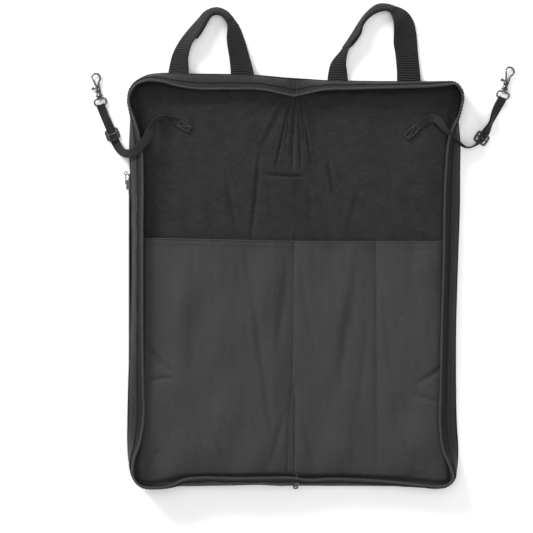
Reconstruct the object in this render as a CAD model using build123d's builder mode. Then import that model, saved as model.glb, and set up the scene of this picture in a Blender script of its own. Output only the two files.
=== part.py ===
"""Drum stick bag, lying open on a flat surface with its inside up.

Two padded halves are joined by a spine. X runs across the bag, +Y towards the carrying handles and
+Z up. The origin is the middle of the right crease, on the surface that the bag lies on.
"""
import os
from math import asin, atan, cos, degrees, hypot, pi, radians, sin, tan

from build123d import *

os.makedirs("parts", exist_ok=True)

# Driving sizes, in millimetres
half_width = 169.0  # crease to outer edge of each half
bag_length = 484.0
spine_run = 50.0  # crease to crease, measured level
pocket_depth = 8.0  # accessory pocket, which lifts the left half by its own depth
corner_radius = 28.0
cover_thickness = 1.2
foam_thickness = 5.0
lining_thickness = 0.8
lean_ratio = 0.833  # inward lean of the gusset for each millimetre of rise
gusset_top = 15.5  # heights above the underside of a half
tape_top = 21.5
coil_radius = 1.2
pocket_top = 22.4
fabric = 0.8
wall_slant = 1.8  # level thickness of the leaning gusset wall
fold_gap = 0.6  # clearance between the spine and each half at the mitre
layer_gap = 0.3  # clearance between the gusset wall and the layers inside it
past_crease = 60.0  # how far a half's outline runs past its crease before it is cut there
tape_thickness = 1.0
divider_end = 26.0  # from the far end to the end of the divider's stitches
pocket_mouth = 47.0
divider_out = 72.0  # stitch line that splits the right pocket, measured from the crease

# Worked out from the driving sizes
half_length = bag_length / 2
lean_angle = degrees(atan(lean_ratio))
spine_width = hypot(spine_run, pocket_depth)
foam_top = cover_thickness + foam_thickness
lining_top = foam_top + lining_thickness
spine_plane = Plane(
    origin=(-spine_run / 2, 0, pocket_depth / 2),
    x_dir=(spine_run, 0, -pocket_depth),
    z_dir=(pocket_depth, 0, spine_run),
)

RIGHT = 1  # the sign is also the outward direction along X
LEFT = -1
NAMES = {RIGHT: "right", LEFT: "left"}


def underside(side):
    """Height of the underside of a half."""
    return 0.0 if side == RIGHT else pocket_depth


def across(side, out):
    """X of a place that lies a distance outward from a half's crease."""
    return out if side == RIGHT else -spine_run - out


def save(part, name):
    part.label = name
    export_step(part, f"parts/{name}.step")


# The padded halves


def leaning_block(side, inset, bottom, top, mode=Mode.ADD):
    """Block over one half whose free sides lean inward, as far inside the gusset's face as inset says."""
    start = inset + (bottom - cover_thickness) * lean_ratio
    width = half_width + past_crease - start
    middle = across(side, half_width - start - width / 2)
    with BuildSketch(Plane.XY.offset(underside(side) + bottom)) as outline:
        with Locations((middle, 0)):
            RectangleRounded(width, bag_length - 2 * start, corner_radius - start)
    extrude(outline.sketch, amount=top - bottom, taper=lean_angle, mode=mode)


def cut_at_crease(side, gap=0.0):
    """Keeps what lies outboard of the plane that rises at 45 degrees from the crease."""
    mitre = Plane(origin=(across(side, gap), 0, underside(side)), z_dir=(side, 0, -1))
    split(bisect_by=mitre, keep=Keep.TOP)


def cover(side):
    """Outer fabric of a half."""
    with BuildPart() as shell:
        with BuildSketch(Plane.XY.offset(underside(side))):
            with Locations((across(side, (half_width - past_crease) / 2), 0)):
                RectangleRounded(half_width + past_crease, bag_length, corner_radius)
        extrude(amount=cover_thickness)
        cut_at_crease(side)
    return shell.part


def layer(side, bottom, top):
    """Foam or lining, inside the gusset."""
    with BuildPart() as sheet:
        leaning_block(side, wall_slant + layer_gap, bottom, top)
        cut_at_crease(side, gap=fold_gap / 2)
    return sheet.part


def leaning_wall(side, bottom, top, slant):
    """Wall round the three free sides of a half."""
    with BuildPart() as wall:
        leaning_block(side, 0, bottom, top)
        leaning_block(side, slant, bottom, top, mode=Mode.SUBTRACT)
        cut_at_crease(side, gap=fold_gap / 2)
    return wall.part


def coil(side):
    """Half of the main zip's coil, along the upper edge of the tape."""
    inset = (tape_top - cover_thickness) * lean_ratio + 0.5
    height = underside(side) + tape_top + coil_radius + 0.02
    end = across(side, half_width - inset)
    inner = across(side, -40)
    edge = half_length - inset
    bend = corner_radius - inset
    with BuildPart() as ring:
        with BuildLine(Plane.XY.offset(height)) as path:
            FilletPolyline((inner, -edge), (end, -edge), (end, edge), (inner, edge), radius=bend)
        with BuildSketch(Plane(origin=path.line @ 0, z_dir=path.line % 0)):
            Circle(coil_radius)
        sweep()
        cut_at_crease(side, gap=fold_gap / 2)
    return ring.part


def pocket_hollow(side, inset, bottom):
    """Space inside the stick pockets of a half."""
    with BuildPart() as hollow:
        leaning_block(side, inset + fabric * 1.3, bottom, pocket_top - fabric)
        cut_at_crease(side, gap=fold_gap + fabric * 1.4)
    return hollow.part


def stick_pockets(side):
    """Raised fabric panel over the lining, open at its mouth; the right one has a stitched divider."""
    inset = wall_slant + 0.8
    bottom = lining_top + 0.02
    floor = underside(side)
    with BuildPart() as panel:
        leaning_block(side, inset, bottom, pocket_top)
        cut_at_crease(side, gap=fold_gap)
        split(bisect_by=Plane.XZ.offset(-pocket_mouth), keep=Keep.TOP)
        add(pocket_hollow(side, inset, bottom), mode=Mode.SUBTRACT)
        if side == RIGHT:
            divider_length = pocket_mouth + half_length - divider_end
            middle = pocket_mouth - divider_length / 2
            height = pocket_top - bottom - fabric
            with Locations((divider_out, middle, floor + bottom + height / 2)):
                Box(fabric, divider_length, height)
    return panel.part


for side in (RIGHT, LEFT):
    name = NAMES[side]
    save(cover(side), f"{name}_cover")
    save(layer(side, cover_thickness, foam_top), f"{name}_foam")
    save(layer(side, foam_top, lining_top), f"{name}_lining")
    save(leaning_wall(side, cover_thickness, gusset_top, wall_slant), f"{name}_gusset")
    save(leaning_wall(side, gusset_top, tape_top, tape_thickness), f"{name}_zip_tape")
    save(coil(side), f"{name}_zip_coil")
    save(stick_pockets(side), f"{name}_pocket_panel")


# The spine between the creases


def trim_spine():
    """Cuts the spine's two long edges at 45 degrees, so that it folds against the halves."""
    for way in (1, -1):
        edge = way * (spine_width / 2 - fold_gap / 2)
        place = spine_plane.from_local_coords((edge, 0, 0))
        normal = spine_plane.from_local_coords((edge - way, 0, -1)) - place
        split(bisect_by=Plane(origin=place, z_dir=normal), keep=Keep.TOP)


def spine_layer(bottom, top):
    """Foam or lining of the spine, inside its leaning end walls."""
    start = wall_slant + layer_gap + (bottom - cover_thickness) * lean_ratio
    with BuildPart() as sheet:
        with BuildSketch(spine_plane.offset(bottom)):
            Rectangle(4 * spine_width, bag_length - 2 * start)
        extrude(amount=top - bottom, taper=lean_angle)
        trim_spine()
    return sheet.part


def spine_cover():
    """Outer fabric of the spine."""
    with BuildPart() as shell:
        with BuildSketch(spine_plane):
            Rectangle(spine_width, bag_length)
        extrude(amount=cover_thickness)
        trim_spine()
    return shell.part


def spine_end(way):
    """Leaning three-cornered end wall of the spine, at its handle end (1) or its far end (-1)."""
    with BuildPart() as wall:
        for inset, mode in ((0, Mode.ADD), (wall_slant, Mode.SUBTRACT)):
            with BuildSketch(spine_plane.offset(cover_thickness)):
                Rectangle(4 * spine_width, bag_length - 2 * inset)
            extrude(amount=spine_width / 2, taper=lean_angle, mode=mode)
        trim_spine()
        split(bisect_by=Plane.XZ, keep=Keep.BOTTOM if way == 1 else Keep.TOP)
    return wall.part


def spine_pocket_panel():
    """Pocket fabric stitched down to the spine lining."""
    with BuildPart() as panel:
        bottom = lining_top + 0.02
        length = pocket_mouth + half_length - 8
        with BuildSketch(spine_plane.offset(bottom)):
            with Locations((0, pocket_mouth - length / 2)):
                Rectangle(spine_width, length)
        extrude(amount=fabric)
        trim_spine()
    return panel.part


save(spine_cover(), "spine_cover")
save(spine_layer(cover_thickness, foam_top), "spine_foam")
save(spine_layer(foam_top, lining_top), "spine_lining")
save(spine_end(1), "spine_gusset_top")
save(spine_end(-1), "spine_gusset_bottom")
save(spine_pocket_panel(), "spine_pocket_panel")


# The joined end of the main zip, on the outside of the spine's far end wall.
# In its plane x runs across the spine, y up the wall and z outward from the wall.

zip_end_plane = Plane(
    spine_plane.location
    * Location((0, -half_length, cover_thickness), (90 - lean_angle, 0, 0))
)
slider_low = 8.0
slider_length = 11.0
slider_width = 8.0
slider_base = 1.1
slider_height = 4.6
pull_pivot = (16.0, slider_base + slider_height + 1.6)  # up the wall, and out from it
pull_length = 12.0
pull_thickness = 1.0
pull_ring = 3.0
pull_hole = 1.7


def block(plane, low, high, mode=Mode.ADD):
    """Box between two corners that are given in a plane's own coordinates."""
    middle = [(a + b) / 2 for a, b in zip(low, high)]
    size = [b - a for a, b in zip(low, high)]
    with BuildSketch(plane.offset(low[2])) as outline:
        with Locations((middle[0], middle[1])):
            Rectangle(size[0], size[1])
    extrude(outline.sketch, amount=size[2], mode=mode)


with BuildPart() as zip_end_tape:
    block(zip_end_plane, (-4.0, 2.5, 0.1), (4.0, 25.0, 0.9))
save(zip_end_tape.part, "zip_end_tape")

with BuildPart() as zip_end_coil:
    block(zip_end_plane, (-1.5, 5.2, 0.92), (1.5, 24.5, 2.4))
    up_wall = Axis(zip_end_plane.origin, zip_end_plane.y_dir)
    outward = Axis(zip_end_plane.origin, zip_end_plane.z_dir)
    fillet(zip_end_coil.edges().filter_by(up_wall).sort_by(outward)[-2:], 0.6)
save(zip_end_coil.part, "zip_end_coil")

with BuildPart() as zip_end_stop:
    block(zip_end_plane, (-2.6, 3.0, 0.92), (2.6, 5.1, 2.9))
save(zip_end_stop.part, "zip_end_stop")

with BuildPart() as zip_slider:
    high = slider_low + slider_length
    roof = slider_base + slider_height
    with BuildSketch(zip_end_plane.offset(slider_base)):
        with BuildLine():
            Polyline(
                (-2.7, slider_low),
                (2.7, slider_low),
                (slider_width / 2, high - 4),
                (slider_width / 2, high),
                (-slider_width / 2, high),
                (-slider_width / 2, high - 4),
                (-2.7, slider_low),
            )
        make_face()
    extrude(amount=slider_height)
    block(zip_end_plane, (-1.9, slider_low - 1, 0), (1.9, high + 1, 3.0), mode=Mode.SUBTRACT)
    for ear in (-2.9, 1.9):
        block(
            zip_end_plane,
            (ear, pull_pivot[0] - 1.5, roof),
            (ear + 1.0, pull_pivot[0] + 1.5, pull_pivot[1] + 1.3),
        )
    with BuildSketch(Plane(
        origin=zip_end_plane.from_local_coords((-5, *pull_pivot)),
        x_dir=zip_end_plane.y_dir,
        z_dir=zip_end_plane.x_dir,
    )):
        Circle(0.9)
    extrude(amount=10, mode=Mode.SUBTRACT)
save(zip_slider.part, "zip_slider")

with BuildPart() as zip_pull:
    with BuildSketch(Plane(
        origin=zip_end_plane.from_local_coords((-3.2, *pull_pivot)),
        x_dir=zip_end_plane.y_dir,
        z_dir=zip_end_plane.x_dir,
    )):
        Circle(0.8)
    extrude(amount=6.4)
    with BuildSketch(zip_end_plane.offset(pull_pivot[1] - pull_thickness / 2)):
        with Locations((0, pull_pivot[0] - (pull_length - 4.8) / 2)):
            Rectangle(3.2, pull_length - 4.8)
        with Locations((0, pull_pivot[0] - pull_length + pull_ring)):
            Circle(pull_ring)
            Circle(pull_hole, mode=Mode.SUBTRACT)
    extrude(amount=pull_thickness)
save(zip_pull.part, "zip_pull")


# Carrying handles: flat webbing loops sewn into the seam at the handle end

handle_outline = {
    RIGHT: {
        "outer": [(14.2, 0), (27, 34), (62, 82), (90, 84), (113, 60), (124.7, 0)],
        "inner": [(38.1, 0), (41, 30), (62, 68), (88, 76), (94, 40), (96.4, 0)],
    },
    LEFT: {
        "outer": [(123.8, 0), (114, 36), (80, 77.5), (54, 77.5), (37, 48), (21.7, 0)],
        "inner": [(98.9, 0), (94, 36), (73, 69), (58, 70), (53, 36), (49.3, 0)],
    },
}
handle_root = half_length + 0.6
handle_thickness = 2.0
handle_reach = 80.0


def handle(side):
    drop = degrees(asin(underside(side) / handle_reach))
    seam = Plane(
        origin=(0, handle_root, underside(side) + 0.1),
        x_dir=(1, 0, 0),
        z_dir=(0, sin(radians(drop)), cos(radians(drop))),
    )
    with BuildPart() as loop:
        with BuildSketch(seam):
            for name, mode in (("outer", Mode.ADD), ("inner", Mode.SUBTRACT)):
                points = [(across(side, out), up) for out, up in handle_outline[side][name]]
                with BuildLine():
                    FilletPolyline(*points, radius=10)
                    Line(points[0], points[-1])
                make_face(mode=mode)
        extrude(amount=handle_thickness)
    return loop.part


for side in (RIGHT, LEFT):
    save(handle(side), f"{NAMES[side]}_handle")


# Floor tom straps: narrow webbing from a patch sewn on each lining to a snap hook

strap_width = 10.0
strap_core = 2.0  # a round tube of this diameter runs along the middle of the flat webbing
patch_thickness = 2.1
strap_height = 2.3  # where it lies beside the bag, level with its metal eye
over_coil = spine_width / 2  # the strap crosses the coil half way up the closed bag
lying = lining_top + 0.02 + patch_thickness / 2  # on the lining, above a half's underside

patch_centre = {RIGHT: (114.2, 174.6), LEFT: (-154.8, 180.5)}
patch_length = {RIGHT: 22.0, LEFT: 19.0}
patch_heading = {RIGHT: 41.0, LEFT: 150.0}

strap_route = {
    RIGHT: [
        (129.6, 188.2, lying),
        (137.6, 190.4, 12.2),
        (144.2, 187.0, 20.6),
        (148.6, 179.0, over_coil),
        (157.0, 170.4, over_coil),
        (165.0, 163.7, 21.2),
        (171.5, 158.4, 13.5),
        (178.8, 155.6, 6.0),
        (187.2, 157.4, 2.7),
        (194.6, 164.6, strap_height),
        (201.0, 174.5, strap_height),
        (207.2, 187.5, strap_height),
        (212.6, 200.5, strap_height),
    ],
    LEFT: [
        (-170.4, 189.5, pocket_depth + lying),
        (-179.4, 191.8, 18.4),
        (-187.4, 187.2, 22.0),
        (-191.8, 177.4, 27.5),
        (-195.8, 167.2, pocket_depth + over_coil),
        (-201.6, 158.0, pocket_depth + over_coil),
        (-209.4, 151.1, 30.2),
        (-217.8, 147.6, 22.0),
        (-226.0, 149.3, 12.0),
        (-232.4, 156.4, 5.0),
        (-237.6, 167.0, strap_height),
        (-242.4, 180.5, strap_height),
        (-248.8, 195.0, strap_height),
    ],
}

buckle_place = {RIGHT: (9, 0.25), LEFT: (10, 0.35)}  # a run of the route, and how far along it
eye_centre = {RIGHT: (221.4, 218.2), LEFT: (-253.3, 210.0)}
hook_heading = {RIGHT: 74.3, LEFT: 100.7}
eye_height = 2.3


def patch_end(side):
    """Where the strap leaves its sewn patch."""
    turn = radians(patch_heading[side])
    reach = patch_length[side] / 2 + 0.1
    x, y = patch_centre[side]
    return (x + reach * cos(turn), y + reach * sin(turn), underside(side) + lying)


def strap_patch(side):
    x, y = patch_centre[side]
    turn = radians(patch_heading[side])
    level = Plane(
        origin=(x, y, underside(side) + lining_top + 0.02),
        x_dir=(cos(turn), sin(turn), 0),
        z_dir=(0, 0, 1),
    )
    with BuildPart() as patch:
        with BuildSketch(level):
            Rectangle(patch_length[side], strap_width)
        extrude(amount=patch_thickness)
    return patch.part


def eye_plane(side):
    """Plane of the metal eye and hook: x runs from the strap to the tip of the hook."""
    turn = radians(hook_heading[side])
    return Plane(
        origin=(*eye_centre[side], eye_height),
        x_dir=(cos(turn), sin(turn), 0),
        z_dir=(0, 0, 1),
    )


def corner_radii(points):
    """One radius for each inner corner, as large as the runs beside it allow."""
    radii = []
    for a, b, c in zip(points, points[1:], points[2:]):
        before, after = Vector(*b) - Vector(*a), Vector(*c) - Vector(*b)
        half_turn = radians(before.get_angle(after)) / 2
        radii.append(0.45 * min(before.length, after.length) / tan(half_turn))
    return radii


def strap(side):
    """Core of the webbing, along straight runs and tangent arcs."""
    end = eye_plane(side).from_local_coords((-6.0, 0, 0))
    points = [patch_end(side), *strap_route[side], (end.X, end.Y, end.Z)]
    radii = corner_radii(points)
    with BuildPart() as core:
        with BuildLine() as path:
            FilletPolyline(*points, radius=radii)
        with BuildSketch(Plane(origin=path.line @ 0, z_dir=path.line % 0)):
            Circle(strap_core / 2)
        sweep()
    length = path.wire().length
    expected = pi * strap_core**2 / 4 * length
    print(f"{NAMES[side]} strap: radii {[round(r, 1) for r in radii]}")
    print(f"  length {length:.1f}, volume {core.part.volume:.0f}, section by length {expected:.0f}")
    return core.part


def tri_glide(side):
    """Three-bar buckle: end bars under the strap and the middle bar over it."""
    first, share = buckle_place[side]
    a, b = Vector(*strap_route[side][first]), Vector(*strap_route[side][first + 1])
    centre = a + (b - a) * share
    plane = Plane(origin=(centre.X, centre.Y, 0), x_dir=(b.X - a.X, b.Y - a.Y, 0), z_dir=(0, 0, 1))
    slot = strap_width + 2.2
    with BuildPart() as buckle:
        with BuildSketch(plane.offset(0.1)):
            RectangleRounded(11.0, slot + 3.2, 1.2)
        extrude(amount=4.4)
        block(plane, (-6, -slot / 2, 1.2), (6, slot / 2, 3.5), mode=Mode.SUBTRACT)
        block(plane, (-6, -slot / 2, 3.5), (-1.5, slot / 2, 6), mode=Mode.SUBTRACT)
        block(plane, (1.5, -slot / 2, 3.5), (6, slot / 2, 6), mode=Mode.SUBTRACT)
        block(plane, (-2.8, -slot / 2, 0), (2.8, slot / 2, 1.2), mode=Mode.SUBTRACT)
    return buckle.part


# Snap hooks, in the eye's plane

wire = 1.9
stem_radius = 1.0
gate_pivot = (14.3, 1.1)
loop_centre = (29.0, -0.4)
loop_outer = 5.3
loop_inner = 3.5
hook_half_height = 1.9
pin_radius = 0.6
gate_bore = 0.72
ear_centre = (14.2, 0.3)
ear_thickness = 0.8
base_outline = [(6.5, -3.5), (6.5, 3.5), (12.2, 2.3), (12.2, -2.3), (6.5, -3.5)]
shank_outline = [
    (12.0, -2.3), (21.5, -2.3), (25.2, -4.6), (27.0, -3.4), (22.5, -0.7), (12.0, -0.7), (12.0, -2.3),
]
mouth_outline = [(22.0, -0.6), (24.0, 6.0), (27.6, 6.0), (27.6, 2.0), (26.0, -0.6), (22.0, -0.6)]
gate_outline = [
    (13.6, 0.2), (16.5, 0.0), (27.2, 2.9), (27.2, 4.5), (15.0, 2.1), (13.4, 1.9), (13.6, 0.2),
]
thumb_outline = [
    (16.3, 1.0), (27.2, 2.9), (27.2, 4.5), (17.0, 2.5), (17.6, 5.2), (16.2, 5.2), (16.3, 1.0),
]
knob_centre = (16.9, 6.1)
knob_radius = 1.5
gate_low = -0.9


def round_bar(plane, at, radius, low, high, mode=Mode.ADD):
    """Cylinder square to a plane, between two heights."""
    with BuildSketch(plane.offset(low)) as outline:
        with Locations(at):
            Circle(radius)
    extrude(outline.sketch, amount=high - low, mode=mode)


def stem_plane(plane, along):
    """Plane across the swivel's axis, at a distance along it."""
    return Plane(origin=plane.from_local_coords((along, 0, 0)), x_dir=plane.y_dir, z_dir=plane.x_dir)


def strap_eye(plane):
    """Flat metal eye with a bored boss for the swivel."""
    with BuildPart() as eye:
        with BuildSketch(plane.offset(-1.1)):
            with Locations((-0.3, 0)):
                RectangleRounded(11.0, 16.0, 4.2)
                RectangleRounded(7.2, 12.2, 2.4, mode=Mode.SUBTRACT)
        extrude(amount=2.2)
        with BuildSketch(stem_plane(plane, 3.3)):
            Circle(2.2)
        extrude(amount=3.0)
        with BuildSketch(stem_plane(plane, 3.0)):
            Circle(stem_radius + 0.08)
        extrude(amount=4, mode=Mode.SUBTRACT)
    return eye.part


def swivel_rivet(plane):
    """Headed pin that holds the hook to the eye and lets it turn."""
    with BuildPart() as rivet:
        with BuildSketch(stem_plane(plane, 1.4)):
            Circle(1.9)
        extrude(amount=1.7)
        with BuildSketch(stem_plane(plane, 1.4)):
            Circle(stem_radius)
        extrude(amount=9.0)
    return rivet.part


def hook_body(plane):
    """Cast hook: bored base, two ears for the gate's pin, shank and open loop."""
    with BuildPart() as hook:
        with BuildSketch(plane.offset(-hook_half_height)):
            with BuildLine():
                Polyline(*base_outline)
            make_face()
        extrude(amount=2 * hook_half_height)
        for low in (-hook_half_height, hook_half_height - ear_thickness):
            with BuildSketch(plane.offset(low)):
                with Locations(ear_centre):
                    RectangleRounded(4.4, 4.8, 1.0)
            extrude(amount=ear_thickness)
        with BuildSketch(plane.offset(-wire / 2)):
            with BuildLine():
                Polyline(*shank_outline)
            make_face()
            with Locations(loop_centre):
                Circle(loop_outer)
                Circle(loop_inner, mode=Mode.SUBTRACT)
            with BuildLine():
                Polyline(*mouth_outline)
            make_face(mode=Mode.SUBTRACT)
        extrude(amount=wire)
        with BuildSketch(stem_plane(plane, 6.0)):
            Circle(stem_radius)
        extrude(amount=4.4, mode=Mode.SUBTRACT)
        round_bar(plane, gate_pivot, pin_radius, -3, 3, mode=Mode.SUBTRACT)
    return hook.part


def hook_gate(plane):
    """Sprung gate with a thumb knob; its nose closes the loop."""
    with BuildPart() as gate:
        for outline, thickness in ((gate_outline, 0.8), (thumb_outline, -2 * gate_low)):
            with BuildSketch(plane.offset(gate_low)):
                with BuildLine():
                    Polyline(*outline)
                make_face()
            extrude(amount=thickness)
        round_bar(plane, knob_centre, knob_radius, -1.4, 1.4)
        round_bar(plane, gate_pivot, gate_bore, -2, 2, mode=Mode.SUBTRACT)
    return gate.part


def gate_pin(plane):
    with BuildPart() as pin:
        round_bar(plane, gate_pivot, pin_radius, -hook_half_height, hook_half_height)
    return pin.part


def gate_spring(plane):
    """Torsion spring round the gate's pin, as a plain ring."""
    with BuildPart() as spring:
        round_bar(plane, gate_pivot, 1.1, 0.1, 0.9)
        round_bar(plane, gate_pivot, 0.75, 0.1, 0.9, mode=Mode.SUBTRACT)
    return spring.part


for side in (RIGHT, LEFT):
    name = NAMES[side]
    plane = eye_plane(side)
    save(strap_patch(side), f"{name}_strap_patch")
    save(strap(side), f"{name}_strap")
    save(tri_glide(side), f"{name}_tri_glide")
    save(strap_eye(plane), f"{name}_strap_eye")
    save(swivel_rivet(plane), f"{name}_swivel_rivet")
    save(hook_body(plane), f"{name}_hook")
    save(hook_gate(plane), f"{name}_gate")
    save(gate_pin(plane), f"{name}_gate_pin")
    save(gate_spring(plane), f"{name}_gate_spring")


# Accessory pocket under the left half, closed by a zip along its outer side

pocket_inner = 14.0  # distances outward from the left crease
pocket_outer = 168.5
pocket_low = -228.0
pocket_high = 137.0
pocket_wall = 1.2
zip_low = -160.0
zip_high = 126.0
side_coil_radius = 1.1
side_slider_at = 112.0
zip_height = 4.475  # middle of the zip, above the ground
panel_thickness = 1.0
panel_corner = 14.0
side_hinge_out = pocket_outer + 4.75
side_ring_outer = 2.3
side_ring_inner = 1.3

pocket_middle = (across(LEFT, (pocket_inner + pocket_outer) / 2), (pocket_low + pocket_high) / 2)
pocket_size = (pocket_outer - pocket_inner, pocket_high - pocket_low)

with BuildPart() as accessory_panel:
    with BuildSketch():
        with Locations(pocket_middle):
            RectangleRounded(*pocket_size, panel_corner)
    extrude(amount=panel_thickness)
save(accessory_panel.part, "accessory_pocket_panel")

with BuildPart() as accessory_gusset:
    with BuildSketch(Plane.XY.offset(panel_thickness + 0.02)):
        with Locations(pocket_middle):
            RectangleRounded(*pocket_size, panel_corner)
            RectangleRounded(
                pocket_size[0] - 2 * pocket_wall,
                pocket_size[1] - 2 * pocket_wall,
                panel_corner - pocket_wall,
                mode=Mode.SUBTRACT,
            )
        with Locations((across(LEFT, pocket_outer), (zip_low + zip_high) / 2)):
            Rectangle(6, zip_high - zip_low, mode=Mode.SUBTRACT)
    extrude(amount=pocket_depth - panel_thickness - 0.04)
save(accessory_gusset.part, "accessory_pocket_gusset")

with BuildPart() as accessory_tape:
    middle = (zip_low + zip_high) / 2
    length = zip_high - zip_low - 0.4
    for height in (2.55, 6.4):
        with Locations((across(LEFT, pocket_outer - 0.6), middle, height)):
            Box(0.8, length, 3.0)
save(accessory_tape.part, "accessory_zip_tape")

with BuildPart() as accessory_coil:
    coil_out = pocket_outer + side_coil_radius - 0.15
    coil_plane = Plane(
        origin=(across(LEFT, coil_out), zip_low + 4, zip_height),
        x_dir=(1, 0, 0),
        z_dir=(0, 1, 0),
    )
    with BuildSketch(coil_plane):
        Circle(side_coil_radius)
    extrude(amount=zip_high - zip_low - 8)
save(accessory_coil.part, "accessory_zip_coil")

with BuildPart() as accessory_stops:
    for end in (zip_low + 2.4, zip_high - 2.4):
        with Locations((across(LEFT, pocket_outer + 0.9), end, zip_height)):
            Box(1.9, 2.4, 3.4)
save(accessory_stops.part, "accessory_zip_stops")

with BuildPart() as accessory_slider:
    with Locations((across(LEFT, pocket_outer + 2.15), side_slider_at, zip_height)):
        Box(4.0, 11.0, 6.2)
        Box(8.0, 12.0, 2.8, mode=Mode.SUBTRACT)
    with Locations((across(LEFT, pocket_outer + 3.55), side_slider_at, zip_height)):
        Box(1.2, 11.0, 6.2)
    with Locations((across(LEFT, side_hinge_out), side_slider_at + 2.5, 2.2)):
        Box(1.4, 3.0, 1.0)
    with Locations((across(LEFT, side_hinge_out), side_slider_at + 2.5, 6.75)):
        Box(1.4, 3.0, 1.0)
    with BuildSketch(Plane.XY):
        with Locations((across(LEFT, side_hinge_out), side_slider_at + 2.5)):
            Circle(0.6)
    extrude(amount=9, mode=Mode.SUBTRACT)
save(accessory_slider.part, "accessory_zip_slider")

with BuildPart() as accessory_pull:
    hinge_x = across(LEFT, side_hinge_out)
    hinge_y = side_slider_at + 2.5
    round_bar(Plane.XY, (hinge_x, hinge_y), 0.5, 1.8, 7.2)
    with Locations((hinge_x, hinge_y + 4.5, zip_height)):
        Box(0.9, 9.0, 3.2)
    with BuildSketch(Plane.XY.offset(4.0)):
        with Locations((hinge_x, hinge_y + 11.2)):
            Circle(side_ring_outer)
            Circle(side_ring_inner, mode=Mode.SUBTRACT)
    extrude(amount=1.0)
save(accessory_pull.part, "accessory_zip_pull")
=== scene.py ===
"""Drum stick bag, lying open with its inside up: the soft goods, zips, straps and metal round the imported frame."""
from math import cos, pi, radians, sin

import bmesh
import bpy
import numpy as np
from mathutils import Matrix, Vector


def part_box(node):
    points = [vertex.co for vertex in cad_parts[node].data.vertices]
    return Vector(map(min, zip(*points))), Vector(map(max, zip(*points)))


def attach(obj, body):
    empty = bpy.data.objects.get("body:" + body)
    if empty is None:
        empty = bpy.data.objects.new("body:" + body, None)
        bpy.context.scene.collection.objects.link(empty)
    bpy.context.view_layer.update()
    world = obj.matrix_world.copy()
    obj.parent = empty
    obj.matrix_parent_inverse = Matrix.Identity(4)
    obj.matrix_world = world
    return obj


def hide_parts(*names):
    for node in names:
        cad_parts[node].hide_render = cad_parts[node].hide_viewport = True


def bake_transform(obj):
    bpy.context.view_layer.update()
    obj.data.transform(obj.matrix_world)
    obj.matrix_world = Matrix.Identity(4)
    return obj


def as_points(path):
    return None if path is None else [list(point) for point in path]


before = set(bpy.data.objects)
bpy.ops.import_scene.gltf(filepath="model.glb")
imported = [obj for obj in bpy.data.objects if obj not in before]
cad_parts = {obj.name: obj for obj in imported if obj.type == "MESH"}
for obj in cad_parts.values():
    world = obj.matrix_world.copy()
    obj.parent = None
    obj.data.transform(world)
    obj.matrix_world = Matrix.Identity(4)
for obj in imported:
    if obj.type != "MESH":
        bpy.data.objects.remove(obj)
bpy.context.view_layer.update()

MM = 0.001
SIDES = {"right": 1, "left": -1}  # the sign is the outward direction along X
SPINE_RUN = 0.050
MIDDLE = -SPINE_RUN / 2
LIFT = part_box("left_cover")[0][2]  # the accessory pocket raises the left half
LINING = 7.0 * MM  # height of the lining above a half's underside
MOUTH = 46.0 * MM  # Y of the stick pockets' mouth

# ---------------------------------------------------------------- camera, light and floor

VIEW_CENTRE = (-0.0575, 0.0159)
VIEW_WIDTH = 0.629
CAMERA_HEIGHT = 2.6
SENSOR = 36.0

camera_data = bpy.data.cameras.new("camera")
camera_data.sensor_width = SENSOR
camera_data.lens = SENSOR * CAMERA_HEIGHT / VIEW_WIDTH
camera_data.clip_end = 20
camera = bpy.data.objects.new("camera", camera_data)
camera.location = (*VIEW_CENTRE, CAMERA_HEIGHT)
bpy.context.collection.objects.link(camera)
bpy.context.scene.camera = camera
bpy.context.scene.view_settings.view_transform = "Standard"


def area_light(name, place, size, power):
    """Square soft light that faces the middle of the bag."""
    data = bpy.data.lights.new(name, "AREA")
    data.size = size
    data.energy = power
    lamp = bpy.data.objects.new(name, data)
    lamp.location = place
    aim = Vector((MIDDLE, 0, 0)) - Vector(place)
    lamp.rotation_euler = aim.to_track_quat("-Z", "Y").to_euler()
    bpy.context.collection.objects.link(lamp)


area_light("key", (-1.7, 2.1, 1.25), 1.1, 104)
area_light("fill", (1.8, -1.2, 1.6), 1.2, 12)
area_light("top", (0.0, 0.1, 2.4), 2.0, 30)
world = bpy.data.worlds.new("studio")
world.use_nodes = True
backdrop = world.node_tree.nodes["Background"].inputs
backdrop["Color"].default_value = (1, 1, 1, 1)
backdrop["Strength"].default_value = 0.46
bpy.context.scene.world = world

# ---------------------------------------------------------------- materials


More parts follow.
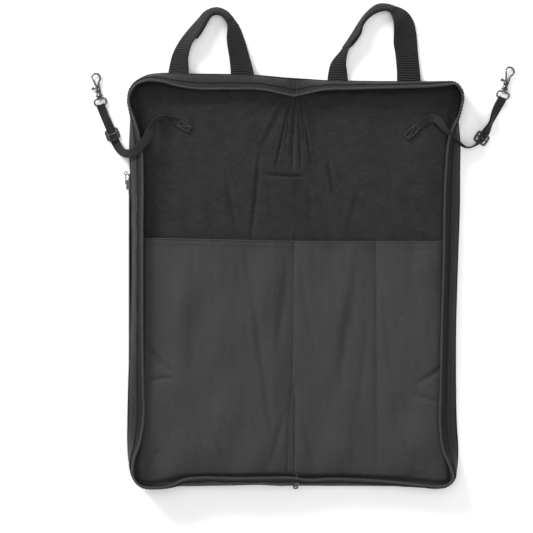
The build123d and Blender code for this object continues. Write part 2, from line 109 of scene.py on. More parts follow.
class Shader:
    """Material with one Principled shader, and short ways to add nodes to it."""

    def __init__(self, name, roughness, metallic=0.0, sheen=0.0, specular=0.5):
        self.material = bpy.data.materials.new(name)
        self.material.use_nodes = True
        self.tree = self.material.node_tree
        self.surface = self.tree.nodes["Principled BSDF"].inputs
        for socket, value in (("Roughness", roughness), ("Metallic", metallic), ("Specular IOR Level", specular),
                              ("Sheen Weight", sheen), ("Sheen Roughness", 0.45)):
            self.surface[socket].default_value = value

    def node(self, kind, **values):
        made = self.tree.nodes.new("ShaderNode" + kind)
        for key, value in values.items():
            if key in made.inputs:
                made.inputs[key].default_value = value
            else:
                setattr(made, key, value)
        return made

    def cloth_place(self):
        """Place on the cloth, in metres, from the Weave map."""
        return self.node("UVMap", uv_map="Weave").outputs["UV"]

    def noise(self, place, **values):
        made = self.node("TexNoise", **values)
        self.tree.links.new(place, made.inputs["Vector"])
        return made.outputs["Fac"]

    def bands(self, place, pitch, distortion, direction):
        """Soft bands a pitch apart across a direction."""
        scale = 2 * pi / 20 / pitch  # a wave texture turns 20 radians a unit
        made = self.node("TexWave", Scale=scale, Distortion=distortion, bands_direction=direction)
        self.tree.links.new(place, made.inputs["Vector"])
        return made.outputs["Fac"]

    def total(self, value, factor, addend):
        """Value times factor plus addend; factor and addend may be numbers or outputs."""
        made = self.node("Math", operation="MULTIPLY_ADD")
        for socket, given in zip(made.inputs, (value, factor, addend)):
            if isinstance(given, (int, float)):
                socket.default_value = given
            else:
                self.tree.links.new(given, socket)
        return made.outputs[0]

    def ranged(self, value, **limits):
        """Value moved from one range to another."""
        made = self.node("MapRange")
        for end, limit in limits.items():
            made.inputs[end.replace("_", " ").title()].default_value = limit
        self.tree.links.new(value, made.inputs["Value"])
        return made.outputs["Result"]

    def colour(self, factor, dark, light):
        """Base colour that runs between two greys."""
        mix = self.node("Mix", data_type="RGBA")
        mix.inputs["A"].default_value = (*dark, 1)
        mix.inputs["B"].default_value = (*light, 1)
        self.tree.links.new(factor, mix.inputs["Factor"])
        self.tree.links.new(mix.outputs["Result"], self.surface["Base Color"])

    def relief(self, height, strength, distance):
        """Fine relief, and the finished material."""
        bump = self.node("Bump", Strength=strength, Distance=distance)
        self.tree.links.new(height, bump.inputs["Height"])
        self.tree.links.new(bump.outputs["Normal"], self.surface["Normal"])
        return self.material


def grey(value, tint=0.0):
    """Grey of a linear value, slightly blue where tint is above 0."""
    return (value * (1 - tint), value, value * (1 + 2 * tint))


def woven(name, value, pitch, bump, spread, mottle=180.0):
    """Plain weave: warp and weft of one pitch, with slubs and worn patches."""
    cloth = Shader(name, 0.85, sheen=0.1, specular=0.25)
    place = cloth.cloth_place()
    warp = cloth.bands(place, pitch, 0.6, "X")
    weft = cloth.bands(place, pitch, 0.6, "Y")
    slub = cloth.noise(place, Scale=mottle, Detail=5.0, Roughness=0.65)
    patch = cloth.noise(place, Scale=mottle / 12, Detail=3.0)
    weave = cloth.total(cloth.total(warp, weft, 0.0), 0.5, slub)
    shade = cloth.ranged(cloth.total(patch, 0.4, weave), from_min=0.45, from_max=1.25)
    cloth.colour(shade, grey(value * (1 - spread), 0.01), grey(value * (1 + spread), 0.01))
    return cloth.relief(weave, bump, 0.6 * MM)


def brushed(name, value):
    """Brushed tricot: a soft nap over fine wales that run along the bag."""
    cloth = Shader(name, 0.9, sheen=0.16, specular=0.2)
    place = cloth.cloth_place()
    stretch = cloth.node("Mapping", Scale=(900, 260, 1))
    cloth.tree.links.new(place, stretch.inputs["Vector"])
    nap = cloth.noise(stretch.outputs["Vector"], Scale=1.0, Detail=6.0, Roughness=0.7)
    wales = cloth.bands(place, 1.1 * MM, 1.5, "X")
    cloud = cloth.noise(place, Scale=60.0, Detail=6.0, Roughness=0.75)
    pile = cloth.total(wales, 0.25, nap)
    shade = cloth.ranged(cloth.total(cloud, 0.6, pile), from_min=0.7, from_max=1.15)
    cloth.colour(shade, grey(value * 0.45, 0.03), grey(value * 1.55, 0.03))
    return cloth.relief(pile, 0.5, 0.5 * MM)


def ribbed(name, value, rib):
    """Webbing: threads across the ribs, with painted shade darkening the valleys and a painted highlight lightening
    the crests.
    """
    cloth = Shader(name, 0.7, sheen=0.06, specular=0.25)
    place = cloth.cloth_place()
    ribs = cloth.bands(place, rib, 0.4, "X")
    threads = cloth.bands(place, 0.9 * MM, 0.8, "Y")
    slub = cloth.noise(place, Scale=420.0, Detail=4.0)
    weave = cloth.total(threads, 0.45, ribs)
    shade = cloth.ranged(cloth.total(slub, 0.5, weave), from_max=1.8)
    # the colour follows the ribs: painted shade in their valleys, painted highlight on their crests
    cloth.colour(shade, grey(value * 0.4), grey(value * 2.4))
    return cloth.relief(weave, 0.7, 0.6 * MM)


def speckled(name, value, roughness, metallic=0.0, scale=900.0, spread=0.3, bump=0.15):
    """Nylon, thread, foam or metal: fine speckle in colour, roughness and relief."""
    solid = Shader(name, roughness, metallic)
    place = solid.node("TexCoord").outputs["Object"]
    grain = solid.noise(place, Scale=scale, Detail=4.0, Roughness=0.6)
    wear = solid.noise(place, Scale=scale / 9, Detail=3.0)
    solid.colour(wear, grey(value * (1 - spread)), grey(value * (1 + spread)))
    dull = solid.ranged(grain, to_min=max(roughness - 0.12, 0.05), to_max=min(roughness + 0.15, 1.0))
    solid.tree.links.new(dull, solid.surface["Roughness"])
    return solid.relief(grain, bump, 0.3 * MM)


shell_cloth = woven("shell_cloth", 0.0082, 0.9 * MM, 0.8, spread=0.4)
pocket_cloth = woven("pocket_cloth", 0.034, 0.7 * MM, 0.6, spread=0.25, mottle=260.0)
lining_cloth = brushed("lining_cloth", 0.0150)
tape_cloth = woven("tape_cloth", 0.0095, 1.1 * MM, 0.8, spread=0.3, mottle=300.0)
webbing = ribbed("webbing", 0.0080, 3.0 * MM)
narrow_webbing = ribbed("narrow_webbing", 0.0075, 1.6 * MM)
thread = speckled("thread", 0.017, 0.55, scale=2500.0)
nylon_coil = speckled("nylon_coil", 0.05, 0.3, scale=700.0, spread=0.25)
foam = speckled("foam", 0.03, 0.9, scale=1500.0, bump=0.5)
gunmetal = speckled("gunmetal", 0.115, 0.33, metallic=1.0, scale=1200.0, spread=0.35, bump=0.08)
steel = speckled("steel", 0.45, 0.3, metallic=1.0, scale=1500.0, bump=0.05)
black_metal = speckled("black_metal", 0.045, 0.32, metallic=0.4, scale=1200.0, spread=0.35, bump=0.08)

# ---------------------------------------------------------------- mesh helpers


def unit(vectors):
    return vectors / np.maximum(np.linalg.norm(vectors, axis=-1, keepdims=True), 1e-12)


def flow(points, spacing, measured=3):
    """Smooth curve through points, sampled evenly; distance is measured on the first columns."""
    points = np.asarray(points, float)
    knots = np.concatenate([[0], np.cumsum(np.linalg.norm(np.diff(points[:, :measured], axis=0), axis=1))])
    slopes = np.diff(points, axis=0) / np.diff(knots)[:, None]
    ahead, behind = np.diff(knots)[1:, None], np.diff(knots)[:-1, None]
    inner = (slopes[1:] * behind + slopes[:-1] * ahead) / (ahead + behind)
    tangents = np.vstack([slopes[:1], inner, slopes[-1:]])
    places = np.linspace(0, knots[-1], max(int(knots[-1] / spacing) * 3, 24))
    run = np.clip(np.searchsorted(knots, places, side="right") - 1, 0, len(points) - 2)
    width = (knots[run + 1] - knots[run])[:, None]
    t = (places - knots[run])[:, None] / width
    curve = (
        (2 * t**3 - 3 * t**2 + 1) * points[run]
        + (t**3 - 2 * t**2 + t) * width * tangents[run]
        + (3 * t**2 - 2 * t**3) * points[run + 1]
        + (t**3 - t**2) * width * tangents[run + 1]
    )
    return even(curve, spacing, measured)


def even(curve, spacing, measured=3):
    """The same curve, with its samples a spacing apart."""
    steps = np.linalg.norm(np.diff(curve[:, :measured], axis=0), axis=1)
    travelled = np.concatenate([[0], np.cumsum(steps)])
    count = max(int(round(travelled[-1] / spacing)) + 1, 3)
    wanted = np.linspace(0, travelled[-1], count)
    return np.stack([np.interp(wanted, travelled, column) for column in curve.T], axis=1)


def lengths(path):
    return np.concatenate([[0], np.cumsum(np.linalg.norm(np.diff(path, axis=0), axis=1))])


def make(name, points, faces, material, weave=None):
    """Mesh object; weave gives each vertex its place on the cloth, in metres."""
    mesh = bpy.data.meshes.new(name)
    mesh.from_pydata(np.asarray(points).reshape(-1, 3).tolist(), [], faces)
    mesh.shade_smooth()
    if weave is not None:
        corner = np.empty(len(mesh.loops), np.int32)
        mesh.loops.foreach_get("vertex_index", corner)
        layer = mesh.uv_layers.new(name="Weave")
        layer.data.foreach_set("uv", np.asarray(weave, np.float32).reshape(-1, 2)[corner].ravel())
    mesh.materials.append(material)
    made = bpy.data.objects.new(name, mesh)
    bpy.context.collection.objects.link(made)
    return made


def weave_map(along, across):
    """Place on the cloth for each point of a grid, from distances along and across it."""
    return np.stack(np.broadcast_arrays(along, across), axis=-1)


def quads(rows, columns, wrap=False, start=0, ring=False):
    """Faces of a grid of points; wrap joins its last column to its first, ring its last row."""
    return [
        (start + r * columns + c, start + r * columns + (c + 1) % columns,
         start + (r + 1) % rows * columns + (c + 1) % columns, start + (r + 1) % rows * columns + c)
        for r in range(rows if ring else rows - 1) for c in range(columns if wrap else columns - 1)
    ]


def caps(count, sides, start=0):
    """The two end faces of a tube of count rings."""
    last = start + (count - 1) * sides
    return [tuple(range(start, start + sides))[::-1], tuple(range(last, last + sides))]


def slab(name, top, bottom, material):
    """Closed pad between two grids of points."""
    rows, columns = top.shape[:2]
    count = rows * columns
    faces = quads(rows, columns)
    faces += [tuple(count + corner for corner in face[::-1]) for face in faces]
    rim = [c for c in range(columns)] + [r * columns + columns - 1 for r in range(1, rows)]
    rim += [count - 1 - c for c in range(1, columns)] + [r * columns for r in range(rows - 2, 0, -1)]
    faces += [(a, a + count, b + count, b) for a, b in zip(rim, rim[1:] + rim[:1])]
    both = np.concatenate([top.reshape(-1, 3), bottom.reshape(-1, 3)])
    return outward(make(name, both, faces, material, both[:, :2]))


def sheet(name, points, material, thickness, weave=None, faces=None):
    """Cloth of a real thickness over a grid of points."""
    if weave is None:
        weave = points[..., :2]
    made = make(name, points, faces or quads(*points.shape[:2]), material, weave)
    solid = made.modifiers.new("thickness", "SOLIDIFY")
    solid.thickness = thickness
    solid.offset = 0.0
    return made


def carried(path):
    """Two directions across a path that turn with it and never spin."""
    along = unit(np.gradient(path, axis=0))
    first = np.cross(along[0], (0, 0, 1) if abs(along[0][2]) < 0.9 else (1, 0, 0))
    across = [first / np.linalg.norm(first)]
    for way in along[1:]:
        turned = across[-1] - way * np.dot(across[-1], way)
        across.append(turned / np.linalg.norm(turned))
    across = np.array(across)
    return across, np.cross(along, across)


def circles(across, above, sides):
    """Circles of radius 1 in the planes of two directions, and the angles round them."""
    turn = np.arange(sides) / sides * 2 * pi
    round_them = np.cos(turn)[:, None] * across[:, None] + np.sin(turn)[:, None] * above[:, None]
    return round_them, turn


def tube(name, path, radius, material, sides=6):
    """Round bar along a path; radius may change along it. Its ends are closed."""
    path = np.asarray(path, float)
    ring, turn = circles(*carried(path), sides)
    points = path[:, None] + ring * np.broadcast_to(radius, len(path))[:, None, None]
    faces = quads(len(path), sides, wrap=True) + caps(len(path), sides)
    return outward(make(name, points, faces, material, weave_map(lengths(path)[:, None], turn * 2 * MM)))


def closed_tube(name, points, radius, material, sides=10):
    """Ring through points that has no ends."""
    along = unit(np.roll(points, -1, axis=0) - np.roll(points, 1, axis=0))
    across = unit(np.cross(along, (0, 0, 1)))
    ring, _ = circles(across, np.cross(across, along), sides)
    faces = quads(len(points), sides, wrap=True, ring=True)
    return outward(make(name, points[:, None] + ring * radius, faces, material))


def outward(made):
    """Turns every face of a closed mesh to look out."""
    shell = bmesh.new()
    shell.from_mesh(made.data)
    bmesh.ops.recalc_face_normals(shell, faces=shell.faces)
    shell.to_mesh(made.data)
    shell.free()
    return made


def joined(name, parts):
    """One object made of several, with their materials."""
    bpy.ops.object.select_all(action="DESELECT")
    for part in parts:
        part.select_set(True)
    bpy.context.view_layer.objects.active = parts[0]
    bpy.ops.object.join()
    parts[0].name = name
    parts[0].data.name = name
    return parts[0]


# Share along a stitch, width and rise of each of its rings, in thread radii
STITCH_SHAPE = [(0.0, 0.45, -0.7), (0.18, 0.9, 0.25), (0.5, 1.0, 0.55), (0.82, 0.9, 0.25), (1.0, 0.45, -0.7)]
STITCH_SIDES = 5


def stitches(name, path, up, length=3.0 * MM, gap=1.1 * MM, radius=0.36 * MM):
    """Row of raised thread stitches along a path; each end dives into the cloth."""
    path = np.asarray(path, float)
    travelled = lengths(path)
    count = max(int(travelled[-1] / (length + gap)), 1)
    up = np.broadcast_to(up, path.shape)
    starts = np.arange(count) * (length + gap) + gap / 2

    def on(line, where):
        return np.stack([np.interp(where, travelled, line[:, k]) for k in range(3)], axis=1)

    rings = []
    for share, width, rise in STITCH_SHAPE:
        where = starts + share * length
        above = unit(on(up, where))
        ahead = on(path, where + 0.5 * MM) - on(path, where - 0.5 * MM)
        ring, _ = circles(unit(np.cross(unit(ahead), above)), above, STITCH_SIDES)
        rings.append((on(path, where) + above * radius * rise)[:, None] + ring * radius * width)
    points = np.stack(rings, axis=1)  # stitch, ring, side
    faces = []
    for start in np.arange(count) * len(STITCH_SHAPE) * STITCH_SIDES:
        faces += quads(len(STITCH_SHAPE), STITCH_SIDES, wrap=True, start=int(start))
        faces += caps(len(STITCH_SHAPE), STITCH_SIDES, int(start))
    return outward(make(name, points, faces, thread))


def waves(x, y, size, seed, stretch=1.0):
    """Gentle unevenness, from -1 to 1, with bumps of about a size; stretch lengthens them along Y."""
    draw = np.random.default_rng(seed)
    total = 0
    for turn, phase in zip(draw.uniform(0, pi, 7), draw.uniform(0, 2 * pi, 7)):
        pace = 2 * pi / size * draw.uniform(0.7, 1.4)
        total = total + np.sin(pace * (x * cos(turn) + y * sin(turn) / stretch) + phase)
    return total / 4


def crease(x, y, start, end, width, depth, lean=0.0):
    """Crease along a line that fades at its ends: a groove where depth is below 0; lean adds a roll beside it."""
    start, end = np.array(start), np.array(end)
    way = end - start
    length = np.hypot(*way)
    way = way / length
    along = ((x - start[0]) * way[0] + (y - start[1]) * way[1]) / length
    off = ((x - start[0]) * way[1] - (y - start[1]) * way[0]) / width
    fade = np.sin(pi * np.clip(along, 0, 1)) ** 0.7
    return fade * np.exp(-(off**2)) * (depth + lean * off)


def creased(z, x, y, creases, gain, lean_gain):
    """Heights with creases added: start, end, width, depth and lean of each, in millimetres."""
    for start, end, width, depth, lean in creases:
        z = z + crease(x, y, np.multiply(start, MM), np.multiply(end, MM), width * MM,
                       depth * gain * MM, lean * lean_gain * MM)
    return z


def ground(x):
    """Height of the shell's underside: level halves and the sloping spine between them."""
    return np.clip(-x / SPINE_RUN, 0, 1) * LIFT


def hinge_blend(piece):
    """Bakes a piece's transform into its mesh."""
    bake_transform(piece)


def fit(piece, slot, body, *nodes):
    """Puts a piece on a body, in place of the CAD nodes named; slot is not used."""
    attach(piece, body)
    if nodes:
        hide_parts(*nodes)


# ---------------------------------------------------------------- the rim: outline and zip line of each half

# Stations from the spine's handle end round to its far end, in millimetres: outline X, Y and zip X, Y
RIM = {
    "right": [
        (-25, 237, -25.5, 215.5), (-13, 236.2, -11, 218.2), (12, 234.5, 8, 221.8), (53, 233.6, 45, 223.2),
        (100, 233.2, 100, 224.6), (135, 233, 135, 225.8), (152, 232.6, 153, 227.6), (163, 230, 164, 228.2),
        (169.5, 221.5, 170, 221), (171, 212, 171, 211), (169.3, 202.5, 168.5, 198), (167.2, 192, 164, 187),
        (168.4, 181.5, 159, 177), (169.7, 165, 155.3, 163), (169.7, 130, 152.3, 130), (169.5, 90, 150.8, 90),
        (167.3, 24, 149.6, 24), (165, -60, 147.3, -60), (165, -130, 146.1, -130), (166, -172, 145.8, -172),
        (167.5, -200, 149.5, -201), (166.5, -218, 156, -218), (163.5, -231, 159.5, -231.5),
        (155, -241.5, 153.5, -238.5), (142, -244, 141, -240.5), (128, -243, 128, -239.3),
        (100, -241.9, 100, -236), (53, -241.3, 53, -232.5), (12, -241.3, 14, -231.5), (-8, -241, -10, -232.5),
        (-25, -240.7, -26, -230),
    ],
    "left": [
        (-25, 237, -25.5, 215.5), (-38, 237.5, -40, 218), (-62, 239.5, -62, 222), (-100, 241, -100, 223),
        (-136, 241.5, -136, 223.2), (-162, 242, -160, 226), (-184, 242, -182, 231), (-200, 239, -199, 231.5),
        (-211, 232, -210.5, 226), (-217, 222, -216.5, 215.5), (-217.3, 211, -217, 208),
        (-215.8, 199, -215, 199), (-216.5, 187, -210.5, 187), (-217.3, 172, -206, 172),
        (-217.8, 150, -202.3, 150), (-216.5, 120, -201.2, 120), (-215, 60, -201.4, 60), (-215, 0, -201.4, 0),
        (-216.5, -60, -201.4, -60), (-219, -120, -201, -120), (-220, -165, -200.8, -165),
        (-220, -192, -205, -191), (-217.8, -215, -212, -214), (-213, -230, -212, -229),
        (-204, -239.5, -205, -238.5), (-190, -242.5, -189, -241), (-173.5, -241.5, -172, -239),
        (-155, -241, -153.5, -231.5), (-136, -240.7, -136, -229.5), (-100, -240.2, -98, -230),
        (-62, -239.5, -60, -229.7), (-41, -240.7, -41, -229.5), (-25, -240.7, -26, -230),
    ],
}
RIM_STEP = 0.8 * MM
SLANT = 25.5 * MM  # from the outline seam up the gusset and tape to the zip
ZIP_HIGH = 23.2 * MM
SEAM = 0.66  # share of the slant where the gusset ends and the zip tape begins
SWELL = 2.3 * MM  # how far the wall bows out half way up
PLEAT_MIDDLE = -23.5 * MM
PLEAT_REACH = 11 * MM
PLEAT_PITCH = 4.7 * MM
PLEAT_DEPTH = 3.4 * MM


class Rim:
    """Sampled outline and zip line of one half."""

    def __init__(self, side):
        line = flow(np.array(RIM[side]) * MM, RIM_STEP, measured=4)
        self.outline, self.zip = line[:, :2], line[:, 2:]
        along = unit(np.gradient(self.outline + self.zip, axis=0))
        self.out = np.stack([-along[:, 1], along[:, 0]], axis=1) * SIDES[side]
        reach = np.linalg.norm(self.outline - self.zip, axis=1)
        self.high = np.minimum(ZIP_HIGH, np.sqrt(np.maximum(SLANT**2 - reach**2, 0)))
        self.steep = np.clip(self.high / SLANT, 0.3, 1)[:, None]

    def line(self, share):
        """Plan of the wall at a share of its slant."""
        return self.outline + (self.zip - self.outline) * share

    def at(self, share, proud=0.0):
        """Points up the wall at a share of its slant, raised off the cloth by proud."""
        x, y = self.line(0.5).T
        lumps = waves(x, y, 34 * MM, 5) * 0.5 * MM + waves(x, y, 11 * MM, 6) * 0.22 * MM
        swell = (SWELL + lumps) * sin(pi * min(max(share, 0), 1)) + proud
        swell = swell - self.gathers() * sin(pi * min(max(share * 0.9 + 0.1, 0), 1))
        plan = self.line(share) + self.out * self.steep * swell[:, None]
        height = ground(plan[:, 0]) + self.high * share + swell * (1 - 0.55 * self.steep[:, 0]) + 0.6 * MM
        return np.column_stack([plan, height])

    def gathers(self):
        """Depth of the pleats that take up the gusset at the spine's handle end."""
        x = self.outline[:, 0] - PLEAT_MIDDLE
        near = np.exp(-((x / PLEAT_REACH) ** 4)) * (self.outline[:, 1] > 0)
        return near * (1 - np.abs(np.sin(pi * x / PLEAT_PITCH)) ** 0.4) * PLEAT_DEPTH

    def up(self):
        """Directions out of the wall's cloth."""
        return unit(np.column_stack([self.out * self.steep, 1.05 - self.steep[:, 0]]))


RIMS = {side: Rim(side) for side in SIDES}

# ---------------------------------------------------------------- gussets, zip tapes, coils and rolled seams

COIL_PITCH = 1.45 * MM


def wall(side, name, shares, material, thickness, proud):
    """Cloth up the wall of one half, between shares of its slant."""
    rim = RIMS[side]
    points = np.stack([rim.at(share, proud) for share in shares], axis=1)
    weave = weave_map(lengths(rim.outline)[:, None], np.array(shares) * SLANT)
    return sheet(side + name, points, material, thickness, weave)


def zip_coil(side):
    """Nylon coil sewn along the tape's edge: a flattened helix with real turns."""
    line = even(RIMS[side].at(1.0, 0.9 * MM), COIL_PITCH / 10)
    above = np.array([0, 0, 1.0])
    across = unit(np.cross(unit(np.gradient(line, axis=0)), above))
    turn = lengths(line)[:, None] / COIL_PITCH * 2 * pi
    helix = line + across * np.cos(turn) * 1.2 * MM + above * np.sin(turn) * 0.75 * MM
    turns = tube(side + "_coil_turns", helix, 0.36 * MM, nylon_coil, sides=5)
    core = tube(side + "_coil_core", even(line, 2 * MM), 0.55 * MM, thread)
    return joined(side + "_main_zip_coil", [turns, core])


for side in SIDES:
    rim = RIMS[side]
    shares = [-0.03, 0.0, 0.04, *np.linspace(0.1, SEAM + 0.02, 12)]
    gusset = wall(side, "_gusset_cloth", shares, shell_cloth, 1.0 * MM, 0.5 * MM)
    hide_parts(side + "_gusset", "spine_gusset_top", "spine_gusset_bottom")
    tape = wall(side, "_main_zip_tape", np.linspace(SEAM - 0.08, 1.02, 8), tape_cloth, 0.6 * MM, -0.2 * MM)
    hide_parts(side + "_zip_tape")
    coil = zip_coil(side)
    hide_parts(side + "_zip_coil")
    outer_row = stitches(side + "_topstitch_outer", rim.at(SEAM - 0.07, 1.1 * MM), rim.up())
    inner_row = stitches(side + "_topstitch_inner", rim.at(0.88, 0.25 * MM), rim.up(),
                         length=2.2 * MM, radius=0.25 * MM)
    hem = rim.at(0.02, 0.3 * MM)
    hem[:, 2] = ground(hem[:, 0]) + 1.7 * MM
    welt = tube(side + "_seam_welt", hem, 1.25 * MM, shell_cloth, sides=8)
    for piece, slot in ((gusset, "shell_fabric"), (tape, "zip_tape"), (coil, "zip_coil"),
                        (outer_row, "shell_fabric"), (inner_row, "zip_tape"), (welt, "shell_fabric")):
        hinge_blend(piece)

# ---------------------------------------------------------------- covers, padding and linings


def coons(top, bottom, inner, outer, columns, rows):
    """Grid that fills the space between four edges: columns run outward, rows from bottom to top."""

    def spread(edge, shares):
        travelled = lengths(edge)
        wanted = shares * travelled[-1]
        return np.stack([np.interp(wanted, travelled, edge[:, k]) for k in range(2)], axis=1)

    even_step = np.linspace(0, 1, columns)
    u = 0.4 * even_step + 0.6 * even_step**2  # closer together at the spine, where the pleats are
    v = np.linspace(0, 1, rows)
    top, bottom, inner, outer = spread(top, u), spread(bottom, u), spread(inner, v), spread(outer, v)
    u, v = u[None, :, None], v[:, None, None]
    across = inner[:, None] * (1 - u) + outer[:, None] * u
    along = bottom[None] * (1 - v) + top[None] * v
    corners = (
        (1 - u) * (1 - v) * bottom[0] + u * (1 - v) * bottom[-1] + (1 - u) * v * top[0] + u * v * top[-1]
    )
    return across + along - corners


def half_plan(side, share, columns, rows, mouth=None):
    """Grid over one half out to the wall at a share of its slant, below the mouth line if one is given."""
    edge = RIMS[side].line(share)
    lean = np.abs(edge[:, 0] - MIDDLE)
    count = len(edge)
    high_corner = np.argmax(np.where(np.arange(count) < count // 2, lean + edge[:, 1], -1))
    low_corner = np.argmax(np.where(np.arange(count) > count // 2, lean - edge[:, 1], -1))
    bottom = edge[low_corner:][::-1]
    side_edge = edge[high_corner:low_corner + 1][::-1]
    top = edge[:high_corner + 1]
    if mouth is not None:
        side_edge = side_edge[side_edge[:, 1] < mouth(side_edge[:, 0])]
        corner = side_edge[-1]
        across = np.linspace(MIDDLE, corner[0], 40)
        top = np.column_stack([across, mouth(across)])
        side_edge = np.vstack([side_edge, top[-1:]])
    inner = np.linspace(bottom[0], top[0], 60)
    plan = coons(top, bottom, inner, side_edge, columns, rows)
    plan[:, 0, 0] -= SIDES[side] * 0.5 * MM  # the two halves' layers overlap at the middle of the spine
    return plan


def edge_dip(plan, depth, reach, mouth=False):
    """How far cloth drops beside the wall, under the zip; a pocket's mouth is no such side."""
    gap = [np.linalg.norm(plan - plan[:, -1:], axis=2), np.linalg.norm(plan - plan[:1], axis=2)]
    if not mouth:
        gap.append(np.linalg.norm(plan - plan[-1:], axis=2))
    near = np.clip(1.5 - np.min(gap, axis=0) / reach, 0, 1)
    return depth * near**2 * (3 - 2 * near)


LINING_FAN = [  # pleats that spread from the spine's handle end
    ((-29, 222), (-47.8, 132), 1.5, -3.2, 2.2), ((-28.5, 216), (-34.5, 160), 1.5, -2.4, -1.2),
    ((-26.2, 222), (-30, 142), 1.8, -3.6, 1.6), ((-23.6, 222), (-26.2, 128), 2.2, -4, -1.2),
    ((-21.5, 222), (-17.2, 128), 2, -3.6, 1.2), ((-18, 218), (-12, 156), 1.4, -2.6, -1.2),
    ((-16.5, 208), (-3.2, 134), 1.5, -3, -2), ((-33, 222), (-66, 152), 4.5, -1.2, 1.6),
    ((-14, 222), (18, 142), 4.5, -1.2, -1.6), ((-40, 224), (-88, 186), 5.5, -1, 1.2),
    ((-6, 222), (40, 186), 5.5, -1, -1.2),
]
LINING_STRAYS = [
    ((-60, 122.5), (-12, 120.5), 2.2, -2.6, 1.8), ((-66, 156), (-77, 44), 3.2, -2.2, 2),
    ((-104, 130), (-88, 50), 4, -1.6, -1.8), ((14, 146), (21, 98), 2.8, -2.2, 1.6),
    ((-198, 128), (-166, 92), 3.5, -1.4, 1.4), ((116, 116), (150, 70), 3.8, -1.8, 1.6),
    ((60, 190), (92, 112), 6.5, -1.2, 1.4), ((-156, 208), (-116, 146), 6.5, -1.2, -1.4),
    ((30, 212), (120, 198), 5, -1, 1.2), ((-186, 202), (-86, 210), 5, -1, 1.2),
    ((126, 186), (150, 150), 4.5, -1.2, 1.2), ((-128, 180), (-90, 132), 5, -1, 1.2),
    ((-58, 116), (-50, 60), 5, -1, 1.2), ((-6, 116), (-2, 62), 4.5, -1, -1.2), ((50, 110), (36, 54), 5, -1, 1),
    ((-184, 92), (-150, 60), 4.5, -1, 1),
]


def lining_height(x, y):
    """Relief of the lining over the padding."""
    z = LINING + waves(x, y, 70 * MM, 11, 1.6) * 0.9 * MM + waves(x, y, 26 * MM, 12, 2.0) * 0.35 * MM
    return np.maximum(creased(z, x, y, LINING_FAN + LINING_STRAYS, 1.0, 1.5), 2.6 * MM)


def mouth_line(x):
    """Y of the pockets' mouth, which dips a little between its stitched ends."""
    tilt = (x - MIDDLE) * -0.011
    return MOUTH + tilt - 0.8 * MM * np.cos((x - MIDDLE) / 0.2 * pi)


CENTRE_STITCH = (-0.0250, -0.0290)  # X at the mouth and at the far end
DIVIDER_STITCH = (0.0710, 0.0730)
POCKET_ENDS = (-0.207, 0.156)
FAR_END = -0.232


def stitch_x(ends, y):
    """X of a pocket's stitch line at a place along the bag."""
    return ends[0] + (ends[1] - ends[0]) * (MOUTH - y) / (MOUTH - FAR_END)


POCKET_FOLDS = [
    ((-156, 45), (-158, -150), 9, 1.5, 0), ((-83, 38), (-50, -200), 5, -1.3, 1.3),
    ((-205, -74), (-168, -112), 4, -1.2, 1.4), ((-205, -118), (-166, -116), 3.5, -1.2, 1),
    ((-204, -222), (-182, -200), 3.5, -1.6, 1.4), ((48, 40), (22, -150), 8, -1.1, 1.3),
    ((150, -100), (118, -122), 4, -1.2, 1.2), ((150, -146), (112, -136), 4, -1.1, -1.2),
    ((-26, -120), (-31, -240), 4.5, -2.6, 0.8), ((-27, -180), (-28.5, -238), 3.2, -2.6, 0.6),
    ((-36, -150), (-56, -222), 5, -0.9, 0.9), ((-18, -150), (4, -222), 5, -0.9, -0.9),
    ((78, -20), (92, -130), 6, -0.8, 0.9), ((66, -40), (50, -170), 6, -0.8, -0.9),
    ((-120, -180), (-100, -224), 5, -0.8, 0.8), ((100, -190), (120, -224), 5, -0.8, 0.8),
    ((-34, 30), (-46, -80), 5, -0.9, 0.9), ((-16, 30), (-4, -70), 5, -0.8, -0.8),
    ((110, 44), (118, -60), 7, -0.7, 0.8),
]


def pocket_height(x, y):
    """Relief of the stick pockets: a slack roll between stitch lines, with the wrinkles of use."""
    centre, divider = stitch_x(CENTRE_STITCH, y), stitch_x(DIVIDER_STITCH, y)
    low = np.where(x < centre, POCKET_ENDS[0], np.where(x < divider, centre, divider))
    high = np.where(x < centre, centre, np.where(x < divider, divider, POCKET_ENDS[1]))
    t = np.clip((x - low) / (high - low), 0, 1)
    puff = (4 * t * (1 - t)) ** 0.55
    to_far = np.clip((y - FAR_END) / (35 * MM), 0, 1) ** 0.6
    to_mouth = np.clip((MOUTH - y) / (MOUTH - FAR_END), 0, 1)
    z = LINING + 1.5 * MM + puff * (7.5 - 3.0 * to_mouth) * MM * to_far
    z = z + puff * 1.0 * MM * np.exp(-(MOUTH - y) / (9 * MM))
    z = z + puff * (waves(x, y, 46 * MM, 21, 2.6) * 2.0 + waves(x, y, 17 * MM, 22, 2.2) * 0.42) * MM
    return np.maximum(creased(z, x, y, POCKET_FOLDS, 1.7, 1.7), LINING + 1.0 * MM)


def raised(plan, level):
    """Points over a plan, at a level above a half's underside."""
    return np.dstack([plan, ground(plan[..., 0]) + level])


def on_pocket(x, y, proud):
    """Line over the stick pockets, raised off the cloth by proud."""
    return np.column_stack([x, y, ground(x) + pocket_height(x, y) + proud])


PAD_BASE = 1.35 * MM
POCKET_COLUMNS = {"right": 164, "left": 160}
HEM_ROWS = (5.2 * MM, 7.0 * MM)
HEM_WIDTH = 8.4 * MM

